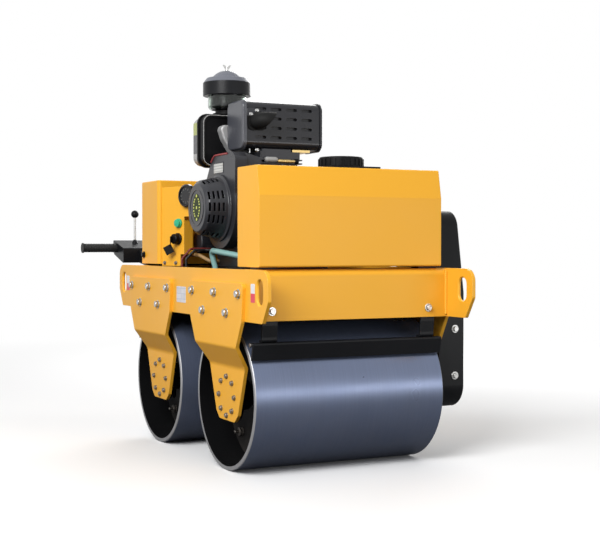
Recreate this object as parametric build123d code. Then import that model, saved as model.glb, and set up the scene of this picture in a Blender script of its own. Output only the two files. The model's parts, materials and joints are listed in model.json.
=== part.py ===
"""Walk-behind double-drum vibratory road roller.

Machine frame while modelling: +X to the machine's right, +Y to the rear (the operator's end),
+Z up, with the ground midway between the two axles as zero. Every piece is shifted once, at
export, so that the written parts share an origin at the centre of the bounding box's floor.
"""
from build123d import *
import os
from math import atan, atan2, cos, degrees, hypot, radians, sin, tan

# ---------------------------------------------------------------- drums
DRUM_D = 425.0            # outside diameter of both drums
DRUM_W = 600.0            # rolling width
DRUM_WALL = 12.0          # rolled shell
RIM_CHAMFER = 2.0         # broken edge of the shell ends
AXLE_SPACING = 562.0      # front axle to rear axle
WEB_INSET = 96.0          # drum end to the outer face of its disc web
WEB_T = 12.0
WEB_HOLE_R = 22.0         # lightening holes round each web
WEB_HOLE_PCD = 270.0
WEB_HOLES = 6
HUB_R = 66.0              # bearing housing welded in each web
HUB_L = 64.0
AXLE_R = 30.0             # stub axle
AXLE_FIT = 0.05           # running clearance of the stub axle in its hub, on the radius

# ---------------------------------------------------------------- frame
PLATE_OUT = 23.0          # side plates' outer faces stand outside the drums' ends
PLATE_T = 10.0            # side plates and legs
PLATE_L = 1244.0          # side plate, end to end
PLATE_OVER = 10.0         # underside of the side plates over the drums
PLATE_H = 141.0
PLATE_TOP_R = 38.0        # round at each top corner
PLATE_CUT_Y = 36.0        # chamfer at each bottom corner, along the plate
PLATE_CUT_Z = 58.0        # and up the end
SLOT_L = 67.0             # tie-down slot in each lug
SLOT_W = 38.0
SLOT_IN = 52.0            # slot centre from the plate's end
SLOT_UP = 11.0            # slot centre over the plate's middle
SLOT_EDGE = 3.0           # broken edge round the slot
BEAM_IN = 132.0           # beam face from the plate's end
BEAM_T = 8.0              # bent cross beams
BEAM_FLANGE = 70.0
BEAM_R = 20.0             # outside radius of the beam's bends
DECK_DROP = 36.0          # underside of the engine deck below the plates' top
DECK_T = 8.0

# ---------------------------------------------------------------- legs
LEG_TOP_DROP = 38.0       # leg's top edge below the plates' top
LEG_KNEE_DROP = 65.0      # upper bend below the drum's top, where the leg starts inwards
LEG_ANKLE_DROP = 126.0    # lower bend below the drum's top
LEG_FOOT_DROP = 70.5      # lowest edge below the axle
LEG_JOGGLE = 38.0         # how far the foot stands in from the top
LEG_BEND_R = 16.0
LEG_HALF_TOP = 200.0      # half-widths down the leg
LEG_HALF_MID = 190.0
LEG_MID_RISE = 8.0        # shoulder above the drum's top
LEG_HALF_KNEE = 150.0
LEG_HALF_ANKLE = 128.0
LEG_HALF_FOOT = 78.0
LEG_FOOT_CUT = (24.0, 21.0)    # foot's corner cut, sideways and up
LEG_RIM_GAP = 8.0         # least gap from a leg to the drum's shell
CARRIER_R = 76.0          # bearing carrier flange behind the foot
CARRIER_T = 14.0

# ---------------------------------------------------------------- water tank and oil tank
TANK_SIDE = 33.0          # tank's sides in from the side plates' outer faces
TANK_D = 147.0            # front to back
TANK_OVER = 5.0           # tank's front face in front of the beam's
TANK_GAP = 6.0            # air gap over the frame
TANK_H = 278.0
TANK_LEAN_Z = 82.0        # height of the leaning upper front panel
TANK_LEAN = 15.0          # how far it leans back
TANK_R = 5.0
CAP_R = 65.5
CAP_H = 28.0
CAP_X = 3.0
CAP_RIBS = 24
CAP_FLANGE = 160.0
CAP_FLANGE_X = 18.0
CAP_FLANGE_T = 5.0
PAD_W = 60.0              # rubber pads under the water tank
PAD_L = 40.0
PAD_IN = 32.0             # pad's middle in from the tank's side
STRIP_W = 24.0            # rubber strip under the oil tank
OIL_TANK_SIDE = 31.0
OIL_TANK_IN = 12.0        # tank's rear face in front of the rear beam's face
OIL_TANK_D = 172.0
OIL_TANK_H = 276.0
OIL_TANK_R = 12.0
OIL_CAP_X = 150.0
OIL_CAP_R = 36.0
OIL_CAP_H = 24.0

# ---------------------------------------------------------------- switch panel
PANEL_IN = 13.0           # outer face in from the oil tank's side
PANEL_SLANT = 20.0        # the panel runs forward and inward by this angle
PANEL_T = 3.0
PANEL_LOW = 111.0         # length of the lower part along the panel
PANEL_NECK = 160.0        # length of the upper part
PANEL_NECK_UP = 160.0     # underside of the neck above the frame
PANEL_H = 258.0
PANEL_RETURN = 38.0       # flange folded inwards
PANEL_NOTCH = (18.0, 38.0)    # cut from the lower front corner: along, up
METER_R = 37.0
METER_AT = (134.0, 226.0)     # along the panel, height above the frame
BUTTON_AT = (87.0, 139.0)
SWITCH_AT = (82.0, 88.0)

# ---------------------------------------------------------------- engine
ENGINE_GAP = 252.0        # crankshaft in front of the oil tank; it lies across the machine
CRANK_UP = 212.0          # crankshaft over the deck
BLOCK_HALF_X = 140.0
BLOCK_HALF_Y = 138.0
BLOCK_UP = 90.0           # crankcase's top over the crankshaft
BARREL_W = 150.0
HEAD_UP = 178.0           # rocker cover's top over the crankshaft
FIN_PITCH = 11.0
FIN_T = 4.0
PLINTH_HALF_X = 150.0
PLINTH_HALF_Y = 118.0
PLINTH_H = 30.0
SHROUD_OUT = 178.0        # outer face of the fan shroud from the engine's middle
SHROUD_D = 38.0
SHROUD_R = 128.0
# tower outline from the crankshaft: rearward, up
SHROUD_TOWER = ((-121.0, 42.0), (-125.0, 152.0), (-104.0, 170.0), (43.0, 170.0), (72.0, 146.0),
                (110.0, 94.0), (121.0, 42.0))
COWL_DROP = 16.0          # how far the cowl's top falls towards the barrel
COWL_T = 2.0
COWL_GAP = 6.0            # cowl's edge to the barrel fins
CUP_L = 77.0              # recoil starter cup
CUP_R_BASE = 97.0
CUP_R_FACE = 82.0
CUP_ROUND = 11.0
CUP_WALL = 3.0
CUP_DISH_R = 54.0         # raised ring round the cup's badge
CUP_DISH_W = 3.0
CUP_DISH_H = 1.5
LOUVRE_L = 27.0
LOUVRE_W = 6.5
LOUVRE_PITCH = 14.0
LOUVRE_FIRST = 24.0       # first louvre from the cup's base
LOUVRES = 4               # in each bank
LOUVRE_BANKS = (-67.0, -25.0, 0.0, 25.0, 67.0)    # degrees up from the front
ROPE_ANGLE = 217.0        # rope handle, degrees round from the front
ROPE_GRIP = (12.0, 15.0, 42.0)    # radial, tangential, along the crankshaft
ROPE_UP = 24.0            # handle's middle from the cup's base
MOTOR_BACK = 182.0        # starter motor's axis behind the crankshaft
MOTOR_DROP = 105.0        # and below it
MOTOR_R = 38.0
MOTOR_NOSE_R = 28.0
MOTOR_FLANGE_X = -100.0   # joint between the motor and its nose
MOTOR_NOSE_X = -58.0
MOTOR_GAP = 24.0          # motor's end to the panel's fold
MOTOR_LUG_T = 14.0
TERMINAL = 20.0           # terminal block on the motor
TERMINAL_IN = 50.0        # in from the motor's flange
TERMINAL_OUT = 36.0       # its face in front of the motor's axis
TERMINAL_DROP = 23.0

# ---------------------------------------------------------------- exhaust and air intake
MUFFLER_X0 = -118.0
MUFFLER_L = 256.0
MUFFLER_BACK = 46.0       # muffler's rear face behind the crankshaft
MUFFLER_D = 120.0
MUFFLER_GAP = 8.0         # over the rocker cover
MUFFLER_H = 147.0
MUFFLER_R = 22.0
MUFFLER_SLOT_L = 38.0
MUFFLER_SLOT_W = 9.0
MUFFLER_SLOT_D = 12.0
MUFFLER_COLUMNS = (-79.0, -26.0, 28.0, 81.0)    # slots from the muffler's middle
MUFFLER_ROWS = (-38.5, -9.0, 20.5, 50.0)        # and up from it
MUFFLER_CAP_L = 14.0      # left end cap
MUFFLER_CAP_R = 10.0      # right end cap
MUFFLER_LIP = 2.5         # caps stand proud of the body
ROLL_W = 5.0              # rolled joint at each cap
ROLL_OUT = 2.0
OUTLET_IN = 34.0          # outlet's middle from the muffler's left end
OUTLET_UP = 84.0          # and from its underside
OUTLET_PLATE = (58.0, 56.0, 5.0)    # flange: width, height, thickness
OUTLET_R = 26.0
OUTLET_WALL = 2.5
OUTLET_REACH = 34.0       # elbow's corner in front of the muffler
OUTLET_RUN = 46.0         # elbow's corner to its open end
OUTLET_MITRE = 40.0       # slant of the open end, degrees
OUTLET_LIP = 18.0         # its upper lip past the slant's middle
BRACKET_X0 = 44.0
BRACKET_X1 = 106.0
BRACKET_IN = 8.0          # bracket's ends in from the barrel's fins
PORT_X0 = -62.0           # exhaust flange between the head and the muffler
PORT_X1 = 38.0
FILTER_X0 = -206.0
FILTER_W = 152.0
FILTER_BACK = 80.0        # air cleaner's front face behind the crankshaft
FILTER_BODY_D = 42.0
FILTER_COVER_D = 66.0
COVER_IN = 8.0            # cover's sides in from the joint
FILTER_UP = 133.0         # air cleaner's underside over the crankshaft
FILTER_H = 174.0
FILTER_R = 32.0
FILTER_DISH = 4.0
DUCT_X0 = -156.0          # cast intake duct between the air cleaner and the head
DUCT_X1 = -50.0
DUCT_GAP = 6.0            # behind the muffler
DUCT_DROP = 39.0          # duct's top below the air cleaner's
DUCT_WAIST = 85.0         # narrowing below the air cleaner's top
BOWL_X = -100.0
BOWL_BACK = 44.0          # bowl's axis behind the air cleaner's front face
NECK_R = 38.0
NECK_H = 17.0
BOWL_R = 62.0
BOWL_H = 44.0
BOWL_WALL = 2.5
STEM_R = 34.0
RING_R = 78.0
RING_H = 58.0
RING_BEVEL = 16.0
RING_TOP_R = 66.0
DOME_R = 50.0
DOME_H = 26.0
NUT_H = 18.0
NUT_T = 4.0

# ---------------------------------------------------------------- drive guard, scrapers
GUARD_GAP = 5.0           # backing plate between leg and guard
GUARD_W = 92.0
GUARD_HALF = 130.0
GUARD_FOOT_DROP = 62.5    # guard's lowest edge below the axle
GUARD_SHOULDER = 75.0     # guard narrows from this far over the drum
GUARD_HALF_TOP = 88.0
GUARD_UP = 174.0          # guard's top over the frame
GUARD_R_LOW = 70.0
GUARD_R_TOP = 56.0
SCRAPER_OVER = 2.0        # scraper's ends past the drum's ends
SCRAPER_GAP = 6.0         # blade tip to drum
SCRAPER_DROP = 97.0       # blade tip below the drum's top
SCRAPER_H = 48.0
SCRAPER_T = 6.0
SCRAPER_LEDGE = 24.0
SCRAPER_LEAN = 16.0       # blade's top in front of its tip
STRAP_W = 46.0
STRAP_T = 6.0
STRAP_X = 252.0
STRAP_UP = 60.0           # strap's top over the beam's lower edge
STRAP_BEND_R = 5.0        # on the strap's middle line

# ---------------------------------------------------------------- steering handle
PIVOT_IN = 42.0           # pivot axis from the plate's end
PIVOT_UP = 73.0           # pivot over the side plates' underside
PIVOT_PIN_R = 12.0
PIVOT_FIT = 0.05
ARM_W = 70.0
ARM_H = 50.0
ARM_WALL = 4.0
ARM_SOCKET = 24.0         # how far the arm runs into the housing
ARM_SIDE_GAP = 1.0        # arm eye to each ear
EAR_T = 12.0
EAR_R = 32.0
EAR_HALF_H = 50.0
HOUSING_W = 202.0
HOUSING_OUT = 645.0       # control housing's front edge behind the side plates
HOUSING_D = 135.0
HOUSING_UP = 126.0        # top of its front edge over the pivot
HOUSING_RISE = 34.0
HOUSING_H = 62.0
GRIP_R = 16.5
GRIP_L = 125.0
GRIP_IN = 36.0            # grips' axis in from the housing's rear edge
GRIP_DROP = 33.5          # and below its top
COLLAR_L = 14.0
LEVER_X = -24.0
LEVER_IN = 53.0
LEVER_R = 4.5
LEVER_L = 108.0
BALL_R = 16.0

# ---------------------------------------------------------------- hoses and leads
HOSE_R = 9.0              # water hose from the water tank down through the deck
HOSE_BEND_R = 20.0
HOSE_X = -187.0
HOSE_LOW = 15.0           # hose's end over the water tank's underside
HOSE_BACK = 50.0          # elbow behind the crankshaft
HOSE_UP = 79.0            # elbow over the deck
HOSE_IN = 15.0            # hose leans in towards the engine on its way down
HOSE_FOOT = 24.0          # upright foot on the deck
HOSE_STUB = 30.0          # straight end at the tank
DRAIN_R = 6.0             # oil hose from the oil tank to the crankcase
DRAIN_BEND_R = 15.0
DRAIN_GAP = 11.0          # hose's axis to the panel's fold
DRAIN_UP = 64.0
DRAIN_FOOT = 44.0         # its end on the crankcase over the deck
DRAIN_IN = 40.0           # and in from the crankcase's back
LEAD_R = 3.5
LEAD_BEND_R = 9.0
LEAD_PITCH = 10.0         # between the starter lead and the earth lead
LEAD_TAIL = 10.0          # starter lead's last run into the terminal
LEAD_OUT = 47.0           # starter lead's foot outside the panel's fold
LEAD_ARCH = 17.0          # top of its arch outside the fold
LEAD_FOOT = 52.0          # upright foot over the deck
EARTH_DROP = 4.0          # earth lead below the starter lead
EARTH_IN = 27.0           # its end in from the crankcase's back

# ---------------------------------------------------------------- worked out
DRUM_R = DRUM_D / 2
RIM_R = DRUM_R - DRUM_WALL        # inside of the drum shells
FRAME_W = DRUM_W + 2 * PLATE_OUT
HALF_W = FRAME_W / 2
HALF_L = PLATE_L / 2
AXLE_Y = AXLE_SPACING / 2
BEAM_Y = HALF_L - BEAM_IN
PLATE_Z0 = DRUM_D + PLATE_OVER
PLATE_Z1 = PLATE_Z0 + PLATE_H
DECK_Z = PLATE_Z1 - DECK_DROP
DECK_TOP = DECK_Z + DECK_T
LEG_X = HALF_W + PLATE_T          # outer face of the legs' upper part
FOOT_X = LEG_X - LEG_JOGGLE       # outer face of the legs' feet
LEG_TOP = PLATE_Z1 - LEG_TOP_DROP
LEG_MID = DRUM_D + LEG_MID_RISE
LEG_KNEE = DRUM_D - LEG_KNEE_DROP
LEG_ANKLE = DRUM_D - LEG_ANKLE_DROP
LEG_FOOT = DRUM_R - LEG_FOOT_DROP
TANK_W = FRAME_W - 2 * TANK_SIDE
TANK_Z0 = PLATE_Z1 + TANK_GAP
TANK_Z1 = TANK_Z0 + TANK_H
TANK_Y0 = -BEAM_Y - TANK_OVER
TANK_Y1 = TANK_Y0 + TANK_D
OIL_TANK_W = FRAME_W - 2 * OIL_TANK_SIDE
OIL_TANK_Y0 = BEAM_Y - OIL_TANK_IN - OIL_TANK_D
OIL_TANK_TOP = TANK_Z0 + OIL_TANK_H
PANEL_X = PANEL_IN - OIL_TANK_W / 2
PANEL_NECK_Z = PLATE_Z1 + PANEL_NECK_UP
PANEL_TOP = PLATE_Z1 + PANEL_H
CRANK_Y = OIL_TANK_Y0 - ENGINE_GAP
CRANK_Z = DECK_TOP + CRANK_UP
BLOCK_TOP = CRANK_Z + BLOCK_UP
HEAD_TOP = CRANK_Z + HEAD_UP
SHROUD_X0 = -SHROUD_OUT
SHROUD_X1 = SHROUD_X0 + SHROUD_D
MOTOR_Y = CRANK_Y + MOTOR_BACK
MOTOR_Z = CRANK_Z - MOTOR_DROP
FOLD_X = PANEL_X + PANEL_LOW * sin(radians(PANEL_SLANT)) + PANEL_RETURN * cos(radians(PANEL_SLANT))
MOTOR_X = FOLD_X + MOTOR_GAP      # starter motor's outer end
MUFFLER_X1 = MUFFLER_X0 + MUFFLER_L
MUFFLER_Y1 = CRANK_Y + MUFFLER_BACK
MUFFLER_Y0 = MUFFLER_Y1 - MUFFLER_D
MUFFLER_Z0 = HEAD_TOP + MUFFLER_GAP
MUFFLER_Z1 = MUFFLER_Z0 + MUFFLER_H
FILTER_Y0 = CRANK_Y + FILTER_BACK
FILTER_Y1 = FILTER_Y0 + FILTER_BODY_D
FILTER_Z0 = CRANK_Z + FILTER_UP
FILTER_TOP = FILTER_Z0 + FILTER_H
BOWL_Y = FILTER_Y0 + BOWL_BACK
BOWL_Z = FILTER_TOP + NECK_H
GUARD_X0 = LEG_X + GUARD_GAP
GUARD_X1 = GUARD_X0 + GUARD_W
GUARD_Z0 = DRUM_R - GUARD_FOOT_DROP
GUARD_SHOULDER_Z = DRUM_D + GUARD_SHOULDER
GUARD_Z1 = PLATE_Z1 + GUARD_UP
SCRAPER_TIP_Z = DRUM_D - SCRAPER_DROP
SCRAPER_TIP_Y = -AXLE_Y - (DRUM_R ** 2 - (SCRAPER_TIP_Z - DRUM_R) ** 2) ** 0.5 - SCRAPER_GAP
SCRAPER_Y0 = SCRAPER_TIP_Y - SCRAPER_LEAN
SCRAPER_Z1 = SCRAPER_TIP_Z + SCRAPER_H
PIVOT_Y = HALF_L - PIVOT_IN
PIVOT_Z = PLATE_Z0 + PIVOT_UP
HOUSING_Y0 = HALF_L + HOUSING_OUT
HOUSING_Y1 = HOUSING_Y0 + HOUSING_D
HOUSING_Z0 = PIVOT_Z + HOUSING_UP
HOUSING_TILT = atan2(HOUSING_RISE, HOUSING_D)
GRIP_Y = HOUSING_Y1 - GRIP_IN
GRIP_Z = HOUSING_Z0 + HOUSING_RISE - GRIP_DROP
LEVER_Y = HOUSING_Y1 - LEVER_IN

X_MID = (GUARD_X1 - LEG_X) / 2
Y_MID = (HOUSING_Y1 - HALF_L) / 2

PARTS = {}


def keep(name, shape):
    """Store one named piece for export."""
    PARTS[name] = shape


def box(x0, x1, y0, y1, z0, z1):
    """Block between two corners."""
    centre = ((x0 + x1) / 2, (y0 + y1) / 2, (z0 + z1) / 2)
    return Pos(*centre) * Box(x1 - x0, y1 - y0, z1 - z0)


def side_profile(points, radii, x0, x1):
    """Outline in the Y-Z plane with rounded corners, filled from x0 to x1."""
    line = FilletPolyline(*points, radius=radii, close=True)
    face = Plane.YZ * make_face(line)
    return Pos(x0, 0, 0) * extrude(face, amount=x1 - x0, dir=(1, 0, 0))


def front_profile(points, radii, y0, y1):
    """Outline in the X-Z plane with rounded corners, filled from y0 to y1."""
    line = FilletPolyline(*points, radius=radii, close=True)
    face = Plane(origin=(0, 0, 0), x_dir=(1, 0, 0), z_dir=(0, -1, 0)) * make_face(line)
    return Pos(0, y0, 0) * extrude(face, amount=y1 - y0, dir=(0, 1, 0))


def x_cylinder(radius, x0, x1, y, z):
    """Round bar along X."""
    return Pos((x0 + x1) / 2, y, z) * Rot(0, 90, 0) * Cylinder(radius, x1 - x0)


def z_cylinder(radius, z0, z1, x, y):
    """Round bar along Z."""
    return Pos(x, y, (z0 + z1) / 2) * Cylinder(radius, z1 - z0)


def turned(points, radii=0.0):
    """Solid of revolution about Z from an outline of (radius, height) points."""
    line = FilletPolyline(*points, radius=radii, close=True)
    face = Plane.XZ * make_face(line)
    return revolve(face, Axis.Z, 360)


def route(points, radius, bend):
    """Round hose or lead along straight runs joined by arcs."""
    path = FilletPolyline(*points, radius=bend)
    start = Plane(origin=points[0], z_dir=Vector(*points[1]) - Vector(*points[0]))
    return sweep(start * Circle(radius), path=path)


def apart(*shapes):
    """One piece made of several solids that don't touch."""
    return Compound([solid for shape in shapes for solid in shape.solids()])


def mirrored(shape, plane):
    """Mirror image of a piece, solid by solid."""
    images = [solid.mirror(plane) for solid in shape.solids()]
    return images[0] if len(images) == 1 else Compound(images)


# ---------------------------------------------------------------- drums
def drum_shell():
    """Rolled shell with broken edges, on the X axis."""
    half = DRUM_W / 2
    outline = [(RIM_R, -half), (DRUM_R - RIM_CHAMFER, -half), (DRUM_R, -half + RIM_CHAMFER),
               (DRUM_R, half - RIM_CHAMFER), (DRUM_R - RIM_CHAMFER, half), (RIM_R, half)]
    return Rot(0, 90, 0) * turned(outline)


def drum_web():
    """Disc web and bearing hub at the right end of a drum, on the X axis."""
    face_x = DRUM_W / 2 - WEB_INSET
    disc = x_cylinder(RIM_R, face_x - WEB_T, face_x, 0, 0)
    hub = x_cylinder(HUB_R, face_x - HUB_L, face_x + WEB_T, 0, 0)
    web = disc + hub
    for k in range(WEB_HOLES):
        angle = radians(360 / WEB_HOLES * (k + 0.5))
        y = WEB_HOLE_PCD / 2 * cos(angle)
        z = WEB_HOLE_PCD / 2 * sin(angle)
        web -= x_cylinder(WEB_HOLE_R, face_x - 2 * WEB_T, face_x + WEB_T, y, z)
    return web - x_cylinder(AXLE_R + AXLE_FIT, face_x - 2 * HUB_L, face_x + HUB_L, 0, 0)


def build_drums():
    """Front and rear drum, each a shell and two webs."""
    for name, y in (("front", -AXLE_Y), ("rear", AXLE_Y)):
        place = Pos(0, y, DRUM_R)
        keep(name + "_drum_shell", place * drum_shell())
        keep(name + "_drum_web_right", place * drum_web())
        keep(name + "_drum_web_left", place * mirrored(drum_web(), Plane.YZ))


# ---------------------------------------------------------------- frame
def side_plate():
    """Right side plate with a tie-down slot, its edges broken, in each lug."""
    h = HALF_L
    points = [(-h + PLATE_CUT_Y, PLATE_Z0), (h - PLATE_CUT_Y, PLATE_Z0), (h, PLATE_Z0 + PLATE_CUT_Z),
              (h, PLATE_Z1), (-h, PLATE_Z1), (-h, PLATE_Z0 + PLATE_CUT_Z)]
    x0 = HALF_W - PLATE_T
    plate = side_profile(points, [6, 6, 12, PLATE_TOP_R, PLATE_TOP_R, 12], x0, HALF_W)
    slot_z = (PLATE_Z0 + PLATE_Z1) / 2 + SLOT_UP
    e = SLOT_EDGE
    for y in (-h + SLOT_IN, h - SLOT_IN):
        slot = Plane.YZ * SlotOverall(SLOT_L, SLOT_W, rotation=90)
        mouth = Plane.YZ * SlotOverall(SLOT_L + 2 * e, SLOT_W + 2 * e, rotation=90)
        plate -= Pos(x0, y, slot_z) * extrude(slot, amount=PLATE_T, dir=(1, 0, 0))
        plate -= Pos(x0, y, slot_z) * extrude(mouth, amount=e, dir=(1, 0, 0), taper=45)
        plate -= Pos(HALF_W, y, slot_z) * extrude(mouth, amount=e, dir=(-1, 0, 0), taper=45)
    return plate


def cross_beam():
    """Front beam: a plate bent rearward along its top, between the side plates."""
    y0 = -BEAM_Y
    y1 = y0 + BEAM_FLANGE
    z0 = PLATE_Z0
    z1 = PLATE_Z1
    half = HALF_W - PLATE_T
    t = BEAM_T
    points = [(y0, z0), (y0 + t, z0), (y0 + t, z1 - t), (y1, z1 - t), (y1, z1), (y0, z1)]
    return side_profile(points, [0, 0, BEAM_R - t, 0, 0, BEAM_R], -half, half)


def leg():
    """Front right leg: a plate joggled inwards so that its foot stands inside the drum's rim."""
    t = PLATE_T
    run = LEG_KNEE - LEG_ANKLE
    shift = t * tan(atan(LEG_JOGGLE / run) / 2)
    xo = LEG_X
    xf = FOOT_X
    points = [(xo, LEG_TOP), (xo, LEG_KNEE), (xf, LEG_ANKLE), (xf, LEG_FOOT),
              (xf - t, LEG_FOOT), (xf - t, LEG_ANKLE + shift), (xo - t, LEG_KNEE + shift),
              (xo - t, LEG_TOP)]
    r = LEG_BEND_R
    section = front_profile(points, [0, r, r + t, 0, 0, r, r + t, 0], -LEG_HALF_TOP, LEG_HALF_TOP)
    cut_y, cut_z = LEG_FOOT_CUT
    half = [(LEG_HALF_TOP, LEG_TOP), (LEG_HALF_MID, LEG_MID), (LEG_HALF_KNEE, LEG_KNEE),
            (LEG_HALF_ANKLE, LEG_ANKLE), (LEG_HALF_FOOT, LEG_FOOT + cut_z),
            (LEG_HALF_FOOT - cut_y, LEG_FOOT)]
    outline = half + [(-y, z) for y, z in reversed(half)]
    rounds = [14, 20, 20, 20, 12, 12]
    blank = side_profile(outline, rounds + rounds[::-1], xf - 3 * t, xo + t)
    reach = DRUM_W / 2 + LEG_RIM_GAP
    rim = x_cylinder(DRUM_R + LEG_RIM_GAP, 0, reach, 0, DRUM_R)
    rim -= x_cylinder(RIM_R - LEG_RIM_GAP, 0, reach, 0, DRUM_R)
    return Pos(0, -AXLE_Y, 0) * ((section & blank) - rim)


def axle_carrier():
    """Front right bearing carrier behind the leg's foot, with the stub axle into the drum's hub."""
    x1 = FOOT_X - PLATE_T
    hub_face = DRUM_W / 2 - WEB_INSET + WEB_T
    x_end = hub_face - HUB_L - WEB_T + 4
    outline = [(0, x_end), (AXLE_R - 2, x_end), (AXLE_R, x_end + 2), (AXLE_R, hub_face + 6),
               (AXLE_R + 14, hub_face + 18), (AXLE_R + 14, x1 - CARRIER_T - 8),
               (CARRIER_R - 18, x1 - CARRIER_T), (CARRIER_R, x1 - CARRIER_T), (CARRIER_R, x1), (0, x1)]
    return Pos(0, -AXLE_Y, DRUM_R) * Rot(0, 90, 0) * turned(outline)


def build_frame():
    """Side plates, cross beams, deck, four legs and four axle carriers."""
    keep("side_plate_right", side_plate())
    keep("side_plate_left", mirrored(side_plate(), Plane.YZ))
    keep("front_beam", cross_beam())
    keep("rear_beam", mirrored(cross_beam(), Plane.XZ))
    half = HALF_W - PLATE_T
    y = BEAM_Y - BEAM_T
    keep("engine_deck", box(-half, half, -y, y, DECK_Z, DECK_Z + DECK_T))
    for piece, name in ((leg(), "leg"), (axle_carrier(), "axle_carrier")):
        left = mirrored(piece, Plane.YZ)
        keep("front_" + name + "_right", piece)
        keep("front_" + name + "_left", left)
        keep("rear_" + name + "_right", mirrored(piece, Plane.XZ))
        keep("rear_" + name + "_left", mirrored(left, Plane.XZ))


# ---------------------------------------------------------------- tanks
def water_tank():
    """Front sheet tank, its front face leaning back above a crease."""
    crease = TANK_Z1 - TANK_LEAN_Z
    points = [(TANK_Y0, TANK_Z0), (TANK_Y1, TANK_Z0), (TANK_Y1, TANK_Z1),
              (TANK_Y0 + TANK_LEAN, TANK_Z1), (TANK_Y0, crease)]
    r = TANK_R
    return side_profile(points, [r, r, r, r, 2 * r], -TANK_W / 2, TANK_W / 2)


def water_cap():
    """Ribbed filler cap on its flange plate."""
    y = TANK_Y0 + TANK_LEAN + (TANK_D - TANK_LEAN) / 2
    depth = TANK_D - TANK_LEAN - 2 * TANK_R
    plate = Pos(CAP_FLANGE_X, y, TANK_Z1 + CAP_FLANGE_T / 2) * Box(CAP_FLANGE, depth, CAP_FLANGE_T)
    z = TANK_Z1 + CAP_FLANGE_T
    rim = CAP_R - 3
    body = Pos(CAP_X, y, z) * turned([(0, 0), (rim, 0), (rim, CAP_H), (0, CAP_H)], [0, 0, 4, 0])
    ribs = []
    for k in range(CAP_RIBS):
        place = Pos(CAP_X, y, z + CAP_H / 2 - 2) * Rot(0, 0, 360 / CAP_RIBS * k)
        ribs.append(place * Pos(rim, 0, 0) * Box(6, 8, CAP_H - 8))
    return plate + body + ribs


def mount_pads():
    """Rubber pads under the water tank's ends and a strip along under the oil tank."""
    pads = []
    x = TANK_W / 2 - PAD_IN
    y = -BEAM_Y + BEAM_R
    for side in (-x, x):
        pads.append(box(side - PAD_W / 2, side + PAD_W / 2, y, y + PAD_L, PLATE_Z1, TANK_Z0))
    half = OIL_TANK_W / 2 - OIL_TANK_R
    y1 = OIL_TANK_Y0 + OIL_TANK_D
    pads.append(box(-half, half, y1 - STRIP_W, y1, PLATE_Z1, TANK_Z0))
    return apart(*pads)


def oil_tank():
    """Rear hydraulic oil tank: a folded sheet box with rounded upright corners."""
    half = OIL_TANK_W / 2
    y1 = OIL_TANK_Y0 + OIL_TANK_D
    tank = box(-half, half, OIL_TANK_Y0, y1, TANK_Z0, OIL_TANK_TOP)
    uprights = tank.edges().filter_by(Axis.Z)
    tank = fillet(uprights, OIL_TANK_R)
    return fillet(tank.faces().sort_by(Axis.Z)[-1].edges(), 4)


def oil_cap():
    """Screw cap of the oil filler, waisted above its flange."""
    r = OIL_CAP_R
    h = OIL_CAP_H
    cap = turned([(0, 0), (r, 0), (r, 5), (r - 7, 7), (r - 5, h), (0, h)], [0, 0, 1, 2, 4, 0])
    return Pos(OIL_CAP_X, OIL_TANK_Y0 + OIL_TANK_D / 2, OIL_TANK_TOP) * cap


# ---------------------------------------------------------------- switch panel
def on_panel(along, height, shape):
    """Place a shape whose Z axis leaves the panel's outer face; its X axis points up."""
    corner = Pos(PANEL_X, OIL_TANK_Y0, PLATE_Z1) * Rot(0, 0, PANEL_SLANT)
    return corner * Pos(0, -along, height) * Rot(0, -90, 0) * shape


def switch_panel():
    """Folded sheet panel: a tall face with a neck forward, and a return flange."""
    cut_along, cut_up = PANEL_NOTCH
    inner = cut_along - PANEL_LOW
    notch = PLATE_Z1 + cut_up
    points = [(0, PLATE_Z1), (0, PANEL_TOP), (-PANEL_NECK, PANEL_TOP), (-PANEL_NECK, PANEL_NECK_Z),
              (-PANEL_LOW, PANEL_NECK_Z), (-PANEL_LOW, notch), (inner, notch), (inner, PLATE_Z1)]
    face = side_profile(points, [0, 6, 10, 10, 4, 0, 4, 2], 0, PANEL_T)
    fold = box(0, PANEL_RETURN, -PANEL_LOW, -PANEL_LOW + PANEL_T, notch, PANEL_NECK_Z - 12)
    panel = Pos(PANEL_X, OIL_TANK_Y0, 0) * Rot(0, 0, PANEL_SLANT) * (face + fold)
    behind = box(-HALF_W, 0, OIL_TANK_Y0, OIL_TANK_Y0 + 20, PLATE_Z1, PANEL_TOP + 1)
    return panel - behind


def hour_meter():
    """Round meter: a deep bezel round a sunk dial."""
    r = METER_R
    return turned([(0, 0), (r, 0), (r, 12), (r - 4, 16), (r - 8, 16), (r - 8, 12), (0, 12)])


def start_button():
    """Push button with its collar."""
    return turned([(0, 0), (15, 0), (15, 5), (12.5, 6), (12.5, 12), (0, 14)])


def key_switch():
    """Ignition lock with its key, and a square tag hanging from the key by a string."""
    lock = turned([(0, 0), (19, 0), (19, 5), (16, 7), (16, 20), (13, 23), (0, 23)])
    key = Pos(-2, 0, 28) * Box(20, 3, 12)
    string = route([(-8, 0, 29), (-13, 5, 28), (-24, 13, 26)], 1.5, 5)
    tag = Pos(-35, 19, 24) * Rot(32, 0, 0) * Rot(0, 0, 28) * Box(28, 28, 4)
    return lock + key + string + tag


def build_panel():
    """Panel with its hour meter, start button and key switch."""
    keep("switch_panel", switch_panel())
    keep("hour_meter", on_panel(*METER_AT, hour_meter()))
    keep("start_button", on_panel(*BUTTON_AT, start_button()))
    keep("key_switch", on_panel(*SWITCH_AT, key_switch()))


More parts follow.
